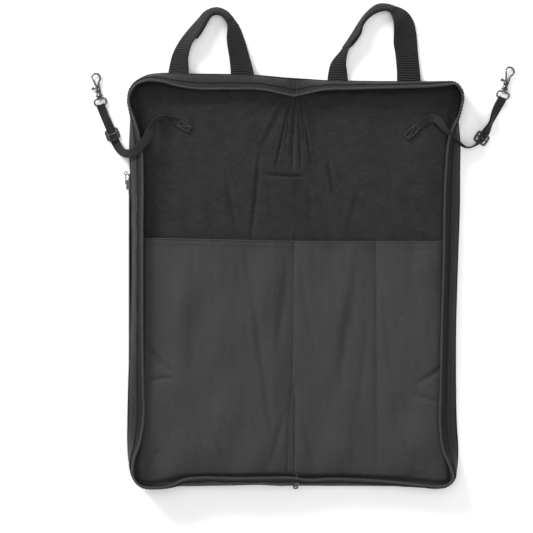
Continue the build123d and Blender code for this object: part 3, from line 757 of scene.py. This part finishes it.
for side in SIDES:
    cover = sheet(side + "_shell", raised(half_plan(side, 0.0, 40, 110), 0.75 * MM), shell_cloth, 1.1 * MM)
    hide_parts(side + "_cover", "spine_cover")

    plan = half_plan(side, 0.12, 40, 100)
    x, y = plan[..., 0], plan[..., 1]
    near = [lining_height(x + dx * MM, y + dy * MM) for dx in (-3, -1.5, 0, 1.5, 3) for dy in (-3, 0, 3)]
    level = np.min(near, axis=0) - 1.3 * MM - edge_dip(plan, 4.0 * MM, 14 * MM)
    pad = slab(side + "_pad", raised(plan, np.maximum(level, PAD_BASE + 0.3 * MM)), raised(plan, PAD_BASE), foam)
    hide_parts(side + "_foam", "spine_foam")

    plan = half_plan(side, 0.34, 144, 344)
    level = lining_height(plan[..., 0], plan[..., 1]) - edge_dip(plan, 3.6 * MM, 9 * MM)
    lining = sheet(side + "_lining_cloth", raised(plan, np.maximum(level, 2.5 * MM)), lining_cloth, 0.7 * MM)
    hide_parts(side + "_lining", "spine_lining")

    plan = half_plan(side, 0.5, POCKET_COLUMNS[side], 250, mouth=mouth_line)
    level = pocket_height(plan[..., 0], plan[..., 1]) - edge_dip(plan, 3.4 * MM, 6.5 * MM, mouth=True)
    panel = sheet(side + "_stick_pocket", raised(plan, level), pocket_cloth, 0.8 * MM)
    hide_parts(side + "_pocket_panel", "spine_pocket_panel")

    x = np.linspace(MIDDLE, plan[-1, -1, 0], 160)
    y = mouth_line(x)
    hem_stitch = joined(side + "_pocket_hem_stitch", [
        stitches(f"hem_row_{drop}", on_pocket(x, y - drop, 0.42 * MM), (0, 0, 1),
                 length=2.4 * MM, radius=0.28 * MM)
        for drop in HEM_ROWS
    ])
    lip = tube(side + "_pocket_lip", on_pocket(x, y, 0.1 * MM), 0.85 * MM, pocket_cloth, sides=8)
    band = [on_pocket(x, y - drop, -0.75 * MM) for drop in np.linspace(0.3 * MM, HEM_WIDTH, 7)]
    fold = sheet(side + "_pocket_hem", np.stack(band, axis=1), pocket_cloth, 0.7 * MM)

    for piece, slot in ((cover, "shell_fabric"), (pad, "padding_foam"), (lining, "brushed_lining"),
                        (panel, "pocket_fabric"), (hem_stitch, "pocket_fabric"), (lip, "pocket_fabric"),
                        (fold, "pocket_fabric")):
        hinge_blend(piece)


def pocket_stitch(name, ends, body):
    """Stitch line that sews the pockets down from the mouth to the far end."""
    y = np.linspace(MOUTH - 1.0 * MM, FAR_END, 200)
    row = stitches(name, on_pocket(stitch_x(ends, y), y, 0.42 * MM), (0, 0, 1))
    fit(row, "pocket_fabric", body)


pocket_stitch("centre_stitch", CENTRE_STITCH, "spine")
pocket_stitch("divider_stitch", DIVIDER_STITCH, "right_half")

# ---------------------------------------------------------------- carrying handles

# Stations in millimetres: outer edge X, Y, Z and inner edge X, Y, Z of the webbing
HANDLES = {
    "left": {
        "first_leg": [
            (-173.8, 238.5, 10, -148.9, 238, 10), (-172.2, 248, 8, -149, 246, 9),
            (-167.4, 267.2, 4, -149.3, 264, 10), (-158.5, 283.4, 2.2, -145, 278, 15),
            (-149, 295.5, 2, -138.5, 287, 17), (-142, 303, 3, -134.5, 293.5, 14),
        ],
        "second_leg": [
            (-107.5, 317.8, 3.2, -110.8, 311.2, 10.6), (-99, 310.8, 3, -106.2, 306.2, 11.6),
            (-91.6, 301.5, 2.2, -103.5, 300, 13), (-84.4, 285.2, 2, -103.9, 283, 12),
            (-77.2, 261.7, 5, -101, 260, 9), (-72.8, 245, 9, -99.6, 244, 10),
            (-71.7, 238.5, 10, -99.3, 238, 10),
        ],
        "grip": [
            (-152, 292.5, 2.6, -139.5, 283.5, 12), (-145, 300.3, 2.4, -135, 289, 13),
            (-137, 309, 2.4, -129.2, 299, 13), (-129.5, 316.8, 2.6, -123.2, 309, 12),
            (-117, 321, 2.8, -116.5, 312.4, 11.2), (-104.3, 316.8, 2.8, -109, 310, 11.8),
            (-96.5, 308.5, 2.6, -104, 304, 12.4),
        ],
    },
    "right": {
        "first_leg": [
            (14.2, 233, 3, 38.5, 232, 3), (15.2, 243, 2.2, 37.8, 242, 3), (18.2, 254.5, 2, 36, 254.5, 7),
            (30.8, 270.8, 2, 39.9, 274.4, 14), (43.4, 290.6, 1.8, 51.6, 290.6, 15), (51, 302, 2.2, 55, 299, 13),
        ],
        "second_leg": [
            (85, 323.8, 3, 84.8, 317.2, 10.4), (96.5, 321.8, 2.4, 88.8, 313, 12.2),
            (107, 316.8, 2, 91.8, 304, 14), (114.8, 306.9, 1.8, 92.6, 293, 9),
            (118.5, 294.3, 1.8, 92.4, 280, 5), (121.2, 267.2, 1.8, 94.5, 266, 2.6),
            (123.2, 247, 2, 96.2, 247, 2), (124.5, 232, 3, 96.5, 232, 3),
        ],
        "grip": [
            (32.2, 273.2, 2.4, 37.8, 271.5, 12), (37.5, 281.5, 2.4, 45.5, 278.5, 11),
            (43.4, 290.6, 2.2, 52.5, 288.5, 11), (53.5, 306, 2.2, 56.5, 301, 13),
            (61.5, 316, 2.4, 64, 309.5, 12), (74.1, 325, 2.6, 75.5, 315.8, 10.8),
            (86, 324.8, 2.8, 85, 316.8, 11.6), (94.5, 322.2, 2.8, 89.5, 314.5, 12),
        ],
    },
}


RIB = 2.9 * MM
SCALLOP = 1.5 * MM
GRIP_THICKNESS = 2.1 * MM  # half of the folded grip's
# Place across and rise of the points round the folded webbing, which is open along its inner edge
LOBE = [(1.0, 0.55), (0.8, 1.0), (0.5, 1.2), (0.2, 1.15), (0.04, 0.7), (0.0, 0.0), (0.04, -0.7), (0.2, -1.15),
        (0.5, -1.2), (0.8, -1.0), (1.0, -0.55), (0.93, 0.0)]


def webbing_leg(name, stations):
    """Flat ribbed webbing between two edges, with scalloped selvedges."""
    line = flow(np.array(stations) * MM, 0.5 * MM, measured=6)
    outer, inner = line[:, :3], line[:, 3:]
    share = np.linspace(0, 1, 19)
    points = outer[:, None] * (1 - share[:, None]) + inner[:, None] * share[:, None]
    normal = unit(np.cross(np.gradient(points, axis=0), np.gradient(points, axis=1)))
    side_on = np.abs(share - 0.5) * 2
    along = lengths((outer + inner) / 2)[:, None]
    bowed = along + side_on * 1.3 * MM
    ribs = np.sin(bowed / RIB * 2 * pi) * 0.55 * MM
    relief = np.where(side_on < 0.86, ribs, np.cos(along / SCALLOP * 2 * pi) * 0.25 * MM)
    spread = np.linalg.norm(outer - inner, axis=1)[:, None] * (share - 0.5)
    return sheet(name, points + normal * relief[..., None], webbing, 1.5 * MM, weave_map(bowed, spread))


def folded_grip(name, stations):
    """Webbing folded in half along the hand grip, open along its inner edge and sewn through there."""
    line = flow(np.array(stations) * MM, 0.6 * MM, measured=6)
    outer, inner = line[:, :3], line[:, 3:]
    across = unit(inner - outer)
    above = unit(np.cross(across, unit(np.gradient((outer + inner) / 2, axis=0))))
    above = above * np.sign(above[:, 2:3] + 1e-9)
    width = np.linalg.norm(inner - outer, axis=1)[:, None]
    along = lengths((outer + inner) / 2)[:, None]
    ring = []
    for place, rise in LOBE:
        bump = 1 + 0.10 * np.sin(along / (3.0 * MM) * 2 * pi) * (abs(rise) > 0.6)
        ring.append(outer + across * width * place + above * rise * GRIP_THICKNESS * bump)
    count, sides = len(line), len(LOBE)
    faces = quads(count, sides, wrap=True) + caps(count, sides)
    weave = weave_map(along, np.linspace(0, 30 * MM, sides))
    body = outward(make(name + "_cloth", np.stack(ring, axis=1), faces, webbing, weave))
    seam = outer + across * width * 0.80 + above * GRIP_THICKNESS * 1.02
    parts = [body, stitches(name + "_stitch", seam[4:-4], above[4:-4], length=2.8 * MM)]
    for near in (6, count - 7):
        bar = outer[near] + across[near] * np.linspace(0.12, 0.86, 24)[:, None] * width[near]
        bar = bar + above[near] * GRIP_THICKNESS * 1.2
        parts.append(stitches(f"{name}_bar", bar, above[near], length=2.0 * MM, gap=0.5 * MM, radius=0.5 * MM))
    return joined(name, parts)


for side in SIDES:
    for number, leg in enumerate(("first_leg", "second_leg"), start=1):
        leg = webbing_leg(f"{side}_handle_leg_{number}", HANDLES[side][leg])
        fit(leg, "handle_webbing", side + "_handle_loop")
    grip = folded_grip(side + "_handle_grip", HANDLES[side]["grip"])
    fit(grip, "handle_webbing", side + "_handle_loop", side + "_handle")

# ---------------------------------------------------------------- floor tom straps

STRAP_WIDTH = 10 * MM
STRAP_THICKNESS = 1.1 * MM
STRAP_HEIGHT = 2.3 * MM
STRAP_RIB = 1.6 * MM
LOWEST_STRAP = 0.8 * MM
OVER_COIL = 25.32 * MM
LYING = LINING + 1.07 * MM
STRAPS = {
    "right": [
        (0.12257, 0.18188, LYING), (0.1296, 0.1882, LYING), (0.1376, 0.1904, 0.0122), (0.1442, 0.1870, 0.0206),
        (0.1486, 0.1790, OVER_COIL), (0.1570, 0.1704, OVER_COIL), (0.1650, 0.1637, 0.0212),
        (0.1715, 0.1584, 0.0135),
        (0.1788, 0.1556, 0.0060), (0.1872, 0.1574, 0.0027), (0.1946, 0.1646, STRAP_HEIGHT),
        (0.2010, 0.1745, STRAP_HEIGHT), (0.2072, 0.1875, STRAP_HEIGHT), (0.2126, 0.2005, STRAP_HEIGHT),
        (0.21978, 0.21242, STRAP_HEIGHT),
    ],
    "left": [
        (-0.16311, 0.18530, LIFT + LYING), (-0.1704, 0.1895, LIFT + LYING), (-0.1794, 0.1918, 0.0184),
        (-0.1874, 0.1872, 0.0220), (-0.1918, 0.1774, 0.0275), (-0.1958, 0.1672, LIFT + OVER_COIL),
        (-0.2016, 0.1580, LIFT + OVER_COIL), (-0.2094, 0.1511, 0.0302), (-0.2178, 0.1476, 0.0220),
        (-0.2260, 0.1493, 0.0120), (-0.2324, 0.1564, 0.0050), (-0.2376, 0.1670, STRAP_HEIGHT),
        (-0.2424, 0.1805, STRAP_HEIGHT), (-0.2488, 0.1950, STRAP_HEIGHT), (-0.25219, 0.20410, STRAP_HEIGHT),
    ],
}
# How far the webbing is turned on edge, in degrees, at shares of its length
STRAP_ROLL = {
    "right": [(0, 0), (0.08, 15), (0.16, 40), (0.26, 60), (0.36, 70), (0.44, 80), (0.52, 88), (0.61, 88),
              (0.67, 30), (0.73, 22), (0.79, 76), (0.87, 48), (0.95, 15), (1, 0)],
    "left": [(0, 0), (0.07, 55), (0.14, 78), (0.22, 50), (0.30, 10), (0.46, 6), (0.58, 28), (0.66, 12), (0.74, 0),
             (0.86, 14), (0.93, 30), (1, 0)],
}
STRAP_FOLDED = 0.72  # from here to the eye the webbing is doubled


def spline_points(name, route):
    """Points along the NURBS curve that has the route as its control points."""
    curve = bpy.data.curves.new(name, "CURVE")
    curve.dimensions = "3D"
    line = curve.splines.new("NURBS")
    line.points.add(len(route) - 1)
    for point, place in zip(line.points, route):
        point.co = (*place, 1)
    line.order_u = 3
    line.use_endpoint_u = True
    line.resolution_u = 16
    holder = bpy.data.objects.new(name, curve)
    bpy.context.collection.objects.link(holder)
    depsgraph = bpy.context.evaluated_depsgraph_get()
    mesh = bpy.data.meshes.new_from_object(holder.evaluated_get(depsgraph))
    points = np.array([vertex.co for vertex in mesh.vertices])
    bpy.data.objects.remove(holder)
    bpy.data.meshes.remove(mesh)
    return points


def smoothed(values, reach):
    """Running mean over reach samples to either side."""
    return np.convolve(np.pad(values, reach, mode="edge"), np.ones(2 * reach + 1) / (2 * reach + 1), mode="valid")


def ribbon(name, path, roll, width=STRAP_WIDTH, thickness=STRAP_THICKNESS, lift=0.0):
    """Webbing strip along a path, level across where its roll is 0."""
    along = unit(np.gradient(path, axis=0))
    level = unit(np.cross((0, 0, 1), along))
    turn = np.radians(roll)[:, None]
    across = level * np.cos(turn) + np.cross(along, level) * np.sin(turn)
    face = np.cross(along, across)
    travelled = lengths(path)
    places = np.linspace(-0.5, 0.5, 9)
    rib = np.sin(travelled / STRAP_RIB * 2 * pi) * 0.16 * MM
    rows = [path + across * place * width + face * (lift + rib * (abs(place) < 0.45))[:, None] for place in places]
    points = np.stack(rows, axis=1)
    sunk = np.maximum(LOWEST_STRAP - points[..., 2].min(axis=1), 0)
    points[..., 2] += smoothed(sunk, 12)[:, None]
    weave = weave_map(travelled[:, None], places * width)
    return sheet(name, points, narrow_webbing, thickness, weave), across, face


for side in SIDES:
    path = even(spline_points(side + "_route", STRAPS[side]), 0.4 * MM)
    share = lengths(path) / lengths(path)[-1]
    stops = np.array(STRAP_ROLL[side])
    roll = smoothed(np.interp(share, stops[:, 0], stops[:, 1]) * SIDES[side], 15)
    strip, across, face = ribbon(side + "_strap_strip", path, roll)
    folded = share > STRAP_FOLDED
    reach = path[-1] + unit(path[-1] - path[-6]) * np.linspace(0.3, 2.6, 6)[:, None] * MM
    looped = np.vstack([path[folded], reach])
    turned = np.concatenate([roll[folded], np.zeros(6)])
    doubled = {"width": STRAP_WIDTH * 0.97, "thickness": 1.0 * MM}
    tail, _, _ = ribbon(side + "_strap_tail", looped, turned, lift=1.25 * MM, **doubled)
    under, _, _ = ribbon(side + "_strap_loop", looped[-12:], turned[-12:], lift=-0.9 * MM, **doubled)
    at = np.searchsorted(share, STRAP_FOLDED + 0.015)
    bar = path[at] + across[at] * np.linspace(-0.4, 0.4, 16)[:, None] * STRAP_WIDTH + face[at] * 1.9 * MM
    tack = stitches(side + "_strap_tack", bar, face[at], length=1.6 * MM, gap=0.4 * MM, radius=0.3 * MM)
    strap = joined(side + "_strap_webbing", [strip, tail, under, tack])
    fit(strap, "strap_webbing", side + "_half", side + "_strap")
    STRAPS[side] = (strap, path)

PATCH = {"right": (radians(41.0), 22 * MM), "left": (radians(150.0), 19 * MM)}  # heading and length
BOX_STITCH = [(4, -0.36), (50, -0.36), (50, 0.36), (4, 0.36), (4, -0.36), (50, 0.36)]  # sample along, share across


def sewn_patch(side):
    """End of the strap, laid flat on the lining and box-stitched to it."""
    low, high = (np.array(corner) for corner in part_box(side + "_strap_patch"))
    middle = (low + high) / 2
    heading, length = PATCH[side]
    line = middle[:2] + np.array([cos(heading), sin(heading)]) * np.linspace(-0.5, 0.5, 60)[:, None] * length
    level = np.maximum(lining_height(line[:, 0], line[:, 1]), LINING) + 0.95 * MM
    path = np.column_stack([line, ground(middle[0]) + level])
    strip, across, _ = ribbon(side + "_patch_strip", path, np.zeros(60))
    corners = [path[at] + across[at] * share * STRAP_WIDTH + (0, 0, 0.75 * MM) for at, share in BOX_STITCH]
    rows = [
        stitches(side + "_patch_row", first + (last - first) * np.linspace(0, 1, 30)[:, None], (0, 0, 1),
                 length=1.7 * MM, gap=0.6 * MM, radius=0.27 * MM)
        for first, last in zip(corners, corners[1:])
    ]
    return joined(side + "_strap_sewn_end", [strip] + rows)


# ---------------------------------------------------------------- buckles, eyes and snap hooks

HEADING = {"right": radians(74.3), "left": radians(100.7)}
EYE = {"right": (0.2214, 0.2182), "left": (-0.2533, 0.2100)}
BUCKLE = {  # the strap's points before and after it, and its share of the way between them
    "right": ((0.1946, 0.1646), (0.2010, 0.1745), 0.25), "left": ((-0.2376, 0.1670), (-0.2424, 0.1805), 0.35),
}
# Bars of the hook and its gate: points in millimetres along and across its heading and up, each with its radius
HOOK = {
    "base": [(6, 0, 0, 2.6), (6.2, 0, 0, 3.7), (7.6, 0, 0, 3.6), (9.4, 0, 0, 2.9), (11.4, -0.3, 0, 2.5),
             (13.6, -0.8, 0, 2.1), (16, -1.3, 0, 1.4)],
    "shank": [(13.5, -1.2, 0, 1.7), (16, -1.5, 0, 1.5), (20, -1.6, 0, 1.35), (23.2, -2.4, 0, 1.3),
              (25.4, -4, 0, 1.25), (28.6, -5, 0, 1.22), (31.9, -4, 0, 1.2), (33.6, -1.1, 0, 1.15),
              (33.3, 2, 0, 1.1), (31.2, 4.1, 0, 1.05), (28.9, 4.5, 0, 0.95)],
    "lower_ear": [(12, 0.7, -1.7, 1), (12.1, 0.7, -1.65, 1.4), (14.3, 1.1, -1.55, 1.5), (16.4, 0.9, -1.65, 1)],
    "upper_ear": [(12, 0.7, 1.7, 1), (12.1, 0.7, 1.65, 1.4), (14.3, 1.1, 1.55, 1.5), (16.4, 0.9, 1.65, 1)],
}
GATE = {
    "bar": [(13.6, 1, 0, 1.15), (16.5, 1, 0, 1.15), (20.5, 1.9, 0, 1.1), (24.5, 2.9, 0, 1.05),
            (28.2, 4.2, 0, 0.9)],
    "stem": [(16.4, 1.2, 0, 0.95), (16.6, 3, 0, 0.95), (16.9, 4.9, 0, 1.05)],
    "knob": [(16.8, 4.3, 0, 0.6), (16.85, 4.7, 0, 1.4), (16.9, 5.6, 0, 1.7), (16.95, 6.6, 0, 1.65),
             (17, 7.4, 0, 1.1), (17, 7.6, 0, 0.3)],
}
BOSS = [(3.3, 1.5), (3.6, 2.1), (5.9, 2.1), (6.3, 1.6)]  # place along the heading and radius
RIVET = [(1.3, 1.0), (1.5, 1.6), (2.7, 1.85), (3.1, 1.7), (3.2, 0.95), (7.0, 0.95)]
FLOOR_GAP = 0.15 * MM


def placed(points, origin, heading):
    """Points given in millimetres along, across and above a heading, moved into the frame."""
    x, y, z = np.asarray(points, float).T * MM
    return np.column_stack([
        origin[0] + x * cos(heading) - y * sin(heading), origin[1] + x * sin(heading) + y * cos(heading),
        STRAP_HEIGHT + z,
    ])


def rounded_rectangle(length, width, corner, middle=0.0):
    """Points round a rectangle with round corners, in millimetres."""
    return np.array([
        (middle + sx * (length / 2 - corner) + corner * cos(radians(turn + step)),
         sy * (width / 2 - corner) + corner * sin(radians(turn + step)), 0.0)
        for turn, sx, sy in ((0, 1, 1), (90, -1, 1), (180, -1, -1), (270, 1, -1)) for step in (0, 30, 60, 90)
    ])


def hook_part(side, name, bars):
    """Cast metal part made of tapering bars."""
    made = []
    for bar, stations in bars.items():
        line = flow(stations, 0.3)
        path = placed(line[:, :3], EYE[side], HEADING[side])
        made.append(tube(bar, path, line[:, 3] * MM, gunmetal, sides=12))
    return joined(side + name, made)


def turned(name, side, profile, material):
    """Round part along a hook's heading."""
    along, radius = np.transpose(profile)
    path = placed(np.column_stack([along, along * 0, along * 0]), EYE[side], HEADING[side])
    return tube(side + name, path, radius * MM, material, sides=16)


for side in SIDES:
    half = side + "_half"
    patch = sewn_patch(side)
    fit(patch, "strap_webbing", half, side + "_strap_patch")

    ring = placed(rounded_rectangle(7.6, 14.2, 3.0, middle=-0.2), EYE[side], HEADING[side])
    eye_ring = closed_tube(side + "_eye_ring", ring, 1.1 * MM, gunmetal)
    eye = joined(side + "_metal_eye", [eye_ring, turned("_eye_boss", side, BOSS, gunmetal)])
    fit(eye, "dark_metal", half, side + "_strap_eye")
    rivet = turned("_rivet", side, RIVET, steel)
    fit(rivet, "dark_metal", half, side + "_swivel_rivet")

    hook = hook_part(side, "_snap_hook", HOOK)
    for corner in hook.data.vertices:
        corner.co.z = max(corner.co.z, FLOOR_GAP)
    fit(hook, "dark_metal", side + "_hook_swivel", side + "_hook")
    gate = hook_part(side, "_snap_gate", GATE)
    fit(gate, "dark_metal", side + "_gate_arm", side + "_gate")

    first, second, share = BUCKLE[side]
    way = np.subtract(second, first)
    middle = np.add(first, way * share)
    turn = np.arctan2(way[1], way[0])
    ring = placed(rounded_rectangle(11.4, 14.2, 1.8) - (0, 0, 0.9), middle, turn)
    outer_bars = closed_tube(side + "_buckle_ring", ring, 1.25 * MM, black_metal)
    cross = placed([(0, -6.8, 0.4), (0, -6.0, 1.6), (0, 0, 1.9), (0, 6.0, 1.6), (0, 6.8, 0.4)], middle, turn)
    middle_bar = tube(side + "_buckle_bar", flow(cross, 0.4 * MM), 0.9 * MM, black_metal, sides=10)
    buckle = joined(side + "_strap_buckle", [outer_bars, middle_bar])
    fit(buckle, "dark_metal", side + "_buckle", side + "_tri_glide")

    strap, path = STRAPS[side]
    tuple(path[0])
    float(lengths(path)[-1])
    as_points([tuple(p) for p in path[::8]] + [tuple(path[-1])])

# ---------------------------------------------------------------- joined end of the main zip

END_FRAME = (
    np.array([-24.81, -242.0, 5.185]) * MM, np.array([0.9874, 0, -0.158]), np.array([0.1214, 0.6400, 0.7587]),
    np.array([0.1011, -0.7683, 0.6320]),
)


def on_end_wall(points):
    """Points in millimetres across the spine, up its end wall and out from it, moved into the frame."""
    points = np.asarray(points, float) * MM
    origin, *axes = END_FRAME
    return origin + sum(points[..., k:k + 1] * axes[k] for k in range(3))


TAPE_TURNS = 13
across_tape, up_tape = np.meshgrid(np.linspace(-4, 4, 17), np.linspace(2.5, 25, 46))
tape_out = 0.7 + 0.25 * np.sin(up_tape * 1.1) * (np.abs(across_tape) > 2.5)
end_tape = sheet("zip_end_cloth", on_end_wall(np.dstack([across_tape, up_tape, tape_out])), tape_cloth, 0.6 * MM,
                 np.dstack([across_tape, up_tape]) * MM)
fit(end_tape, "zip_tape", "spine", "zip_end_tape")
turn = np.linspace(0, TAPE_TURNS * 2 * pi, TAPE_TURNS * 14)
end_coils = [
    tube(f"zip_end_row_{way}", on_end_wall(np.column_stack([
        way * (0.75 + 0.7 * np.cos(turn)), 5.4 + turn / (2 * pi) * 1.45, 1.75 + 0.6 * np.sin(turn)])),
        0.33 * MM, nylon_coil)
    for way in (1, -1)
]
fit(joined("zip_end_turns", end_coils), "zip_coil", "spine", "zip_end_coil")

# ---------------------------------------------------------------- accessory pocket under the left half

# All in millimetres
POCKET_X = (-218.5, -64.0)
POCKET_Y = (-228.0, 137.0)
POCKET_WALL = LIFT / MM
SIDE_ZIP = (-160.0, 126.0)
SIDE_TURNS = 190
PANEL_INSET = 0.6
PANEL_CORNER = 12.0
pocket_size = np.array([POCKET_X[1] - POCKET_X[0], POCKET_Y[1] - POCKET_Y[0]])
pocket_middle = np.array([sum(POCKET_X), sum(POCKET_Y)]) / 2
outline = rounded_rectangle(*pocket_size, 14)[:, :2] + pocket_middle
wall_line = even(np.vstack([outline, outline[:1]]), 2.0, 2)[:-1]
inward = unit(wall_line.mean(axis=0) - wall_line)


def level_line(line, level):
    """Line in metres at one level."""
    return np.column_stack([line, np.full(len(line), level)]) * MM


def pocket_side(name, levels, material, keep):
    """Upright cloth wall along part of the pocket's outline."""
    bow = np.sin(np.pi * (levels - levels[0]) / (levels[-1] - levels[0]))
    lumps = waves(*wall_line.T * MM, 30 * MM, 41)[:, None] * 0.3
    rows = [
        level_line(wall_line - inward * (0.35 * rise * (1 + lumps) - 0.5), level)
        for level, rise in zip(levels, bow)
    ]
    weave = weave_map(lengths(wall_line)[:, None] * MM, levels * MM)
    kept = [keep(point) for point in wall_line]
    faces = [
        face for face in quads(len(wall_line), len(levels), ring=True)
        if kept[face[0] // len(levels)] and kept[face[2] // len(levels)]
    ]
    return sheet(name, np.stack(rows, axis=1), material, 0.7 * MM, weave, faces)


def beside_zip(point):
    return point[0] < POCKET_X[0] + 1 and SIDE_ZIP[0] < point[1] < SIDE_ZIP[1]


plain_wall = pocket_side("pocket_wall_cloth", np.linspace(1.0, POCKET_WALL - 0.1, 9), shell_cloth,
                         lambda point: not beside_zip(point))
lower_tape = pocket_side("lower_tape", np.linspace(1.1, 3.9, 5), tape_cloth, beside_zip)
upper_tape = pocket_side("upper_tape", np.linspace(5.1, POCKET_WALL - 0.1, 5), tape_cloth, beside_zip)
side_tape = joined("accessory_tape_cloth", [lower_tape, upper_tape])
steps = np.meshgrid(np.linspace(-0.5, 0.5, 50), np.linspace(-0.5, 0.5, 110))
panel = np.dstack(steps) * (pocket_size - 2 * PANEL_INSET)
past = np.sign(panel) * np.maximum(np.abs(panel) - (pocket_size / 2 - PANEL_CORNER - PANEL_INSET), 0)
reach = np.linalg.norm(past, axis=2, keepdims=True)  # past the middle of a round corner
panel = panel + pocket_middle - past * (1 - np.minimum(1, PANEL_CORNER / np.maximum(reach, 1e-6)))
panel_z = 0.75 + 0.3 * waves(panel[..., 0] * MM, panel[..., 1] * MM, 50 * MM, 42)
cloth = sheet("accessory_panel_cloth", np.dstack([panel, panel_z]) * MM, shell_cloth, 0.8 * MM)
piping = closed_tube("pocket_piping", level_line(wall_line + inward * 0.4, 1.0), 0.85 * MM, shell_cloth, sides=8)
pocket_base = joined("accessory_panel_cloth", [cloth, piping])
row = level_line(wall_line + inward * 5.0, 0.33)
pocket_rows = stitches("accessory_topstitch", row, (0, 0, -1), radius=0.3 * MM)
turn = np.linspace(0, SIDE_TURNS * 2 * pi, SIDE_TURNS * 10)
side_turns = tube("accessory_coil_turns", np.column_stack([
    -219.3 - 0.55 * np.sin(turn), np.linspace(SIDE_ZIP[0] + 5, SIDE_ZIP[1] - 5, len(turn)),
    4.475 + 0.85 * np.cos(turn)]) * MM, 0.33 * MM, nylon_coil, sides=5)
fit(plain_wall, "shell_fabric", "left_half", "accessory_pocket_gusset")
fit(side_tape, "zip_tape", "left_half", "accessory_zip_tape")
fit(pocket_base, "shell_fabric", "left_half", "accessory_pocket_panel")
fit(side_turns, "zip_coil", "left_half", "accessory_zip_coil")
fit(pocket_rows, "shell_fabric", "left_half")

# ---------------------------------------------------------------- CAD parts that keep their shape

FINISHES = {
    black_metal: ("gate_pin", "zip_slider", "zip_pull", "zip_stops", "end_stop"),
    steel: ("gate_spring",),
}
for material, endings in FINISHES.items():
    for name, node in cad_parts.items():
        if name.endswith(endings):
            node.data.materials.clear()
            node.data.materials.append(material)

FLOOR = 4.0  # half its side
FLOOR_DROP = 0.4 * MM
paint = Shader("floor_paint", 0.9, specular=0.1)
paint.surface["Base Color"].default_value = (0.95, 0.95, 0.95, 1)
corners = [(-FLOOR, -FLOOR, 0), (FLOOR, -FLOOR, 0), (FLOOR, FLOOR, 0), (-FLOOR, FLOOR, 0)]
floor = make("floor", corners, [(0, 1, 2, 3)], paint.material)
floor.location.z = -FLOOR_DROP
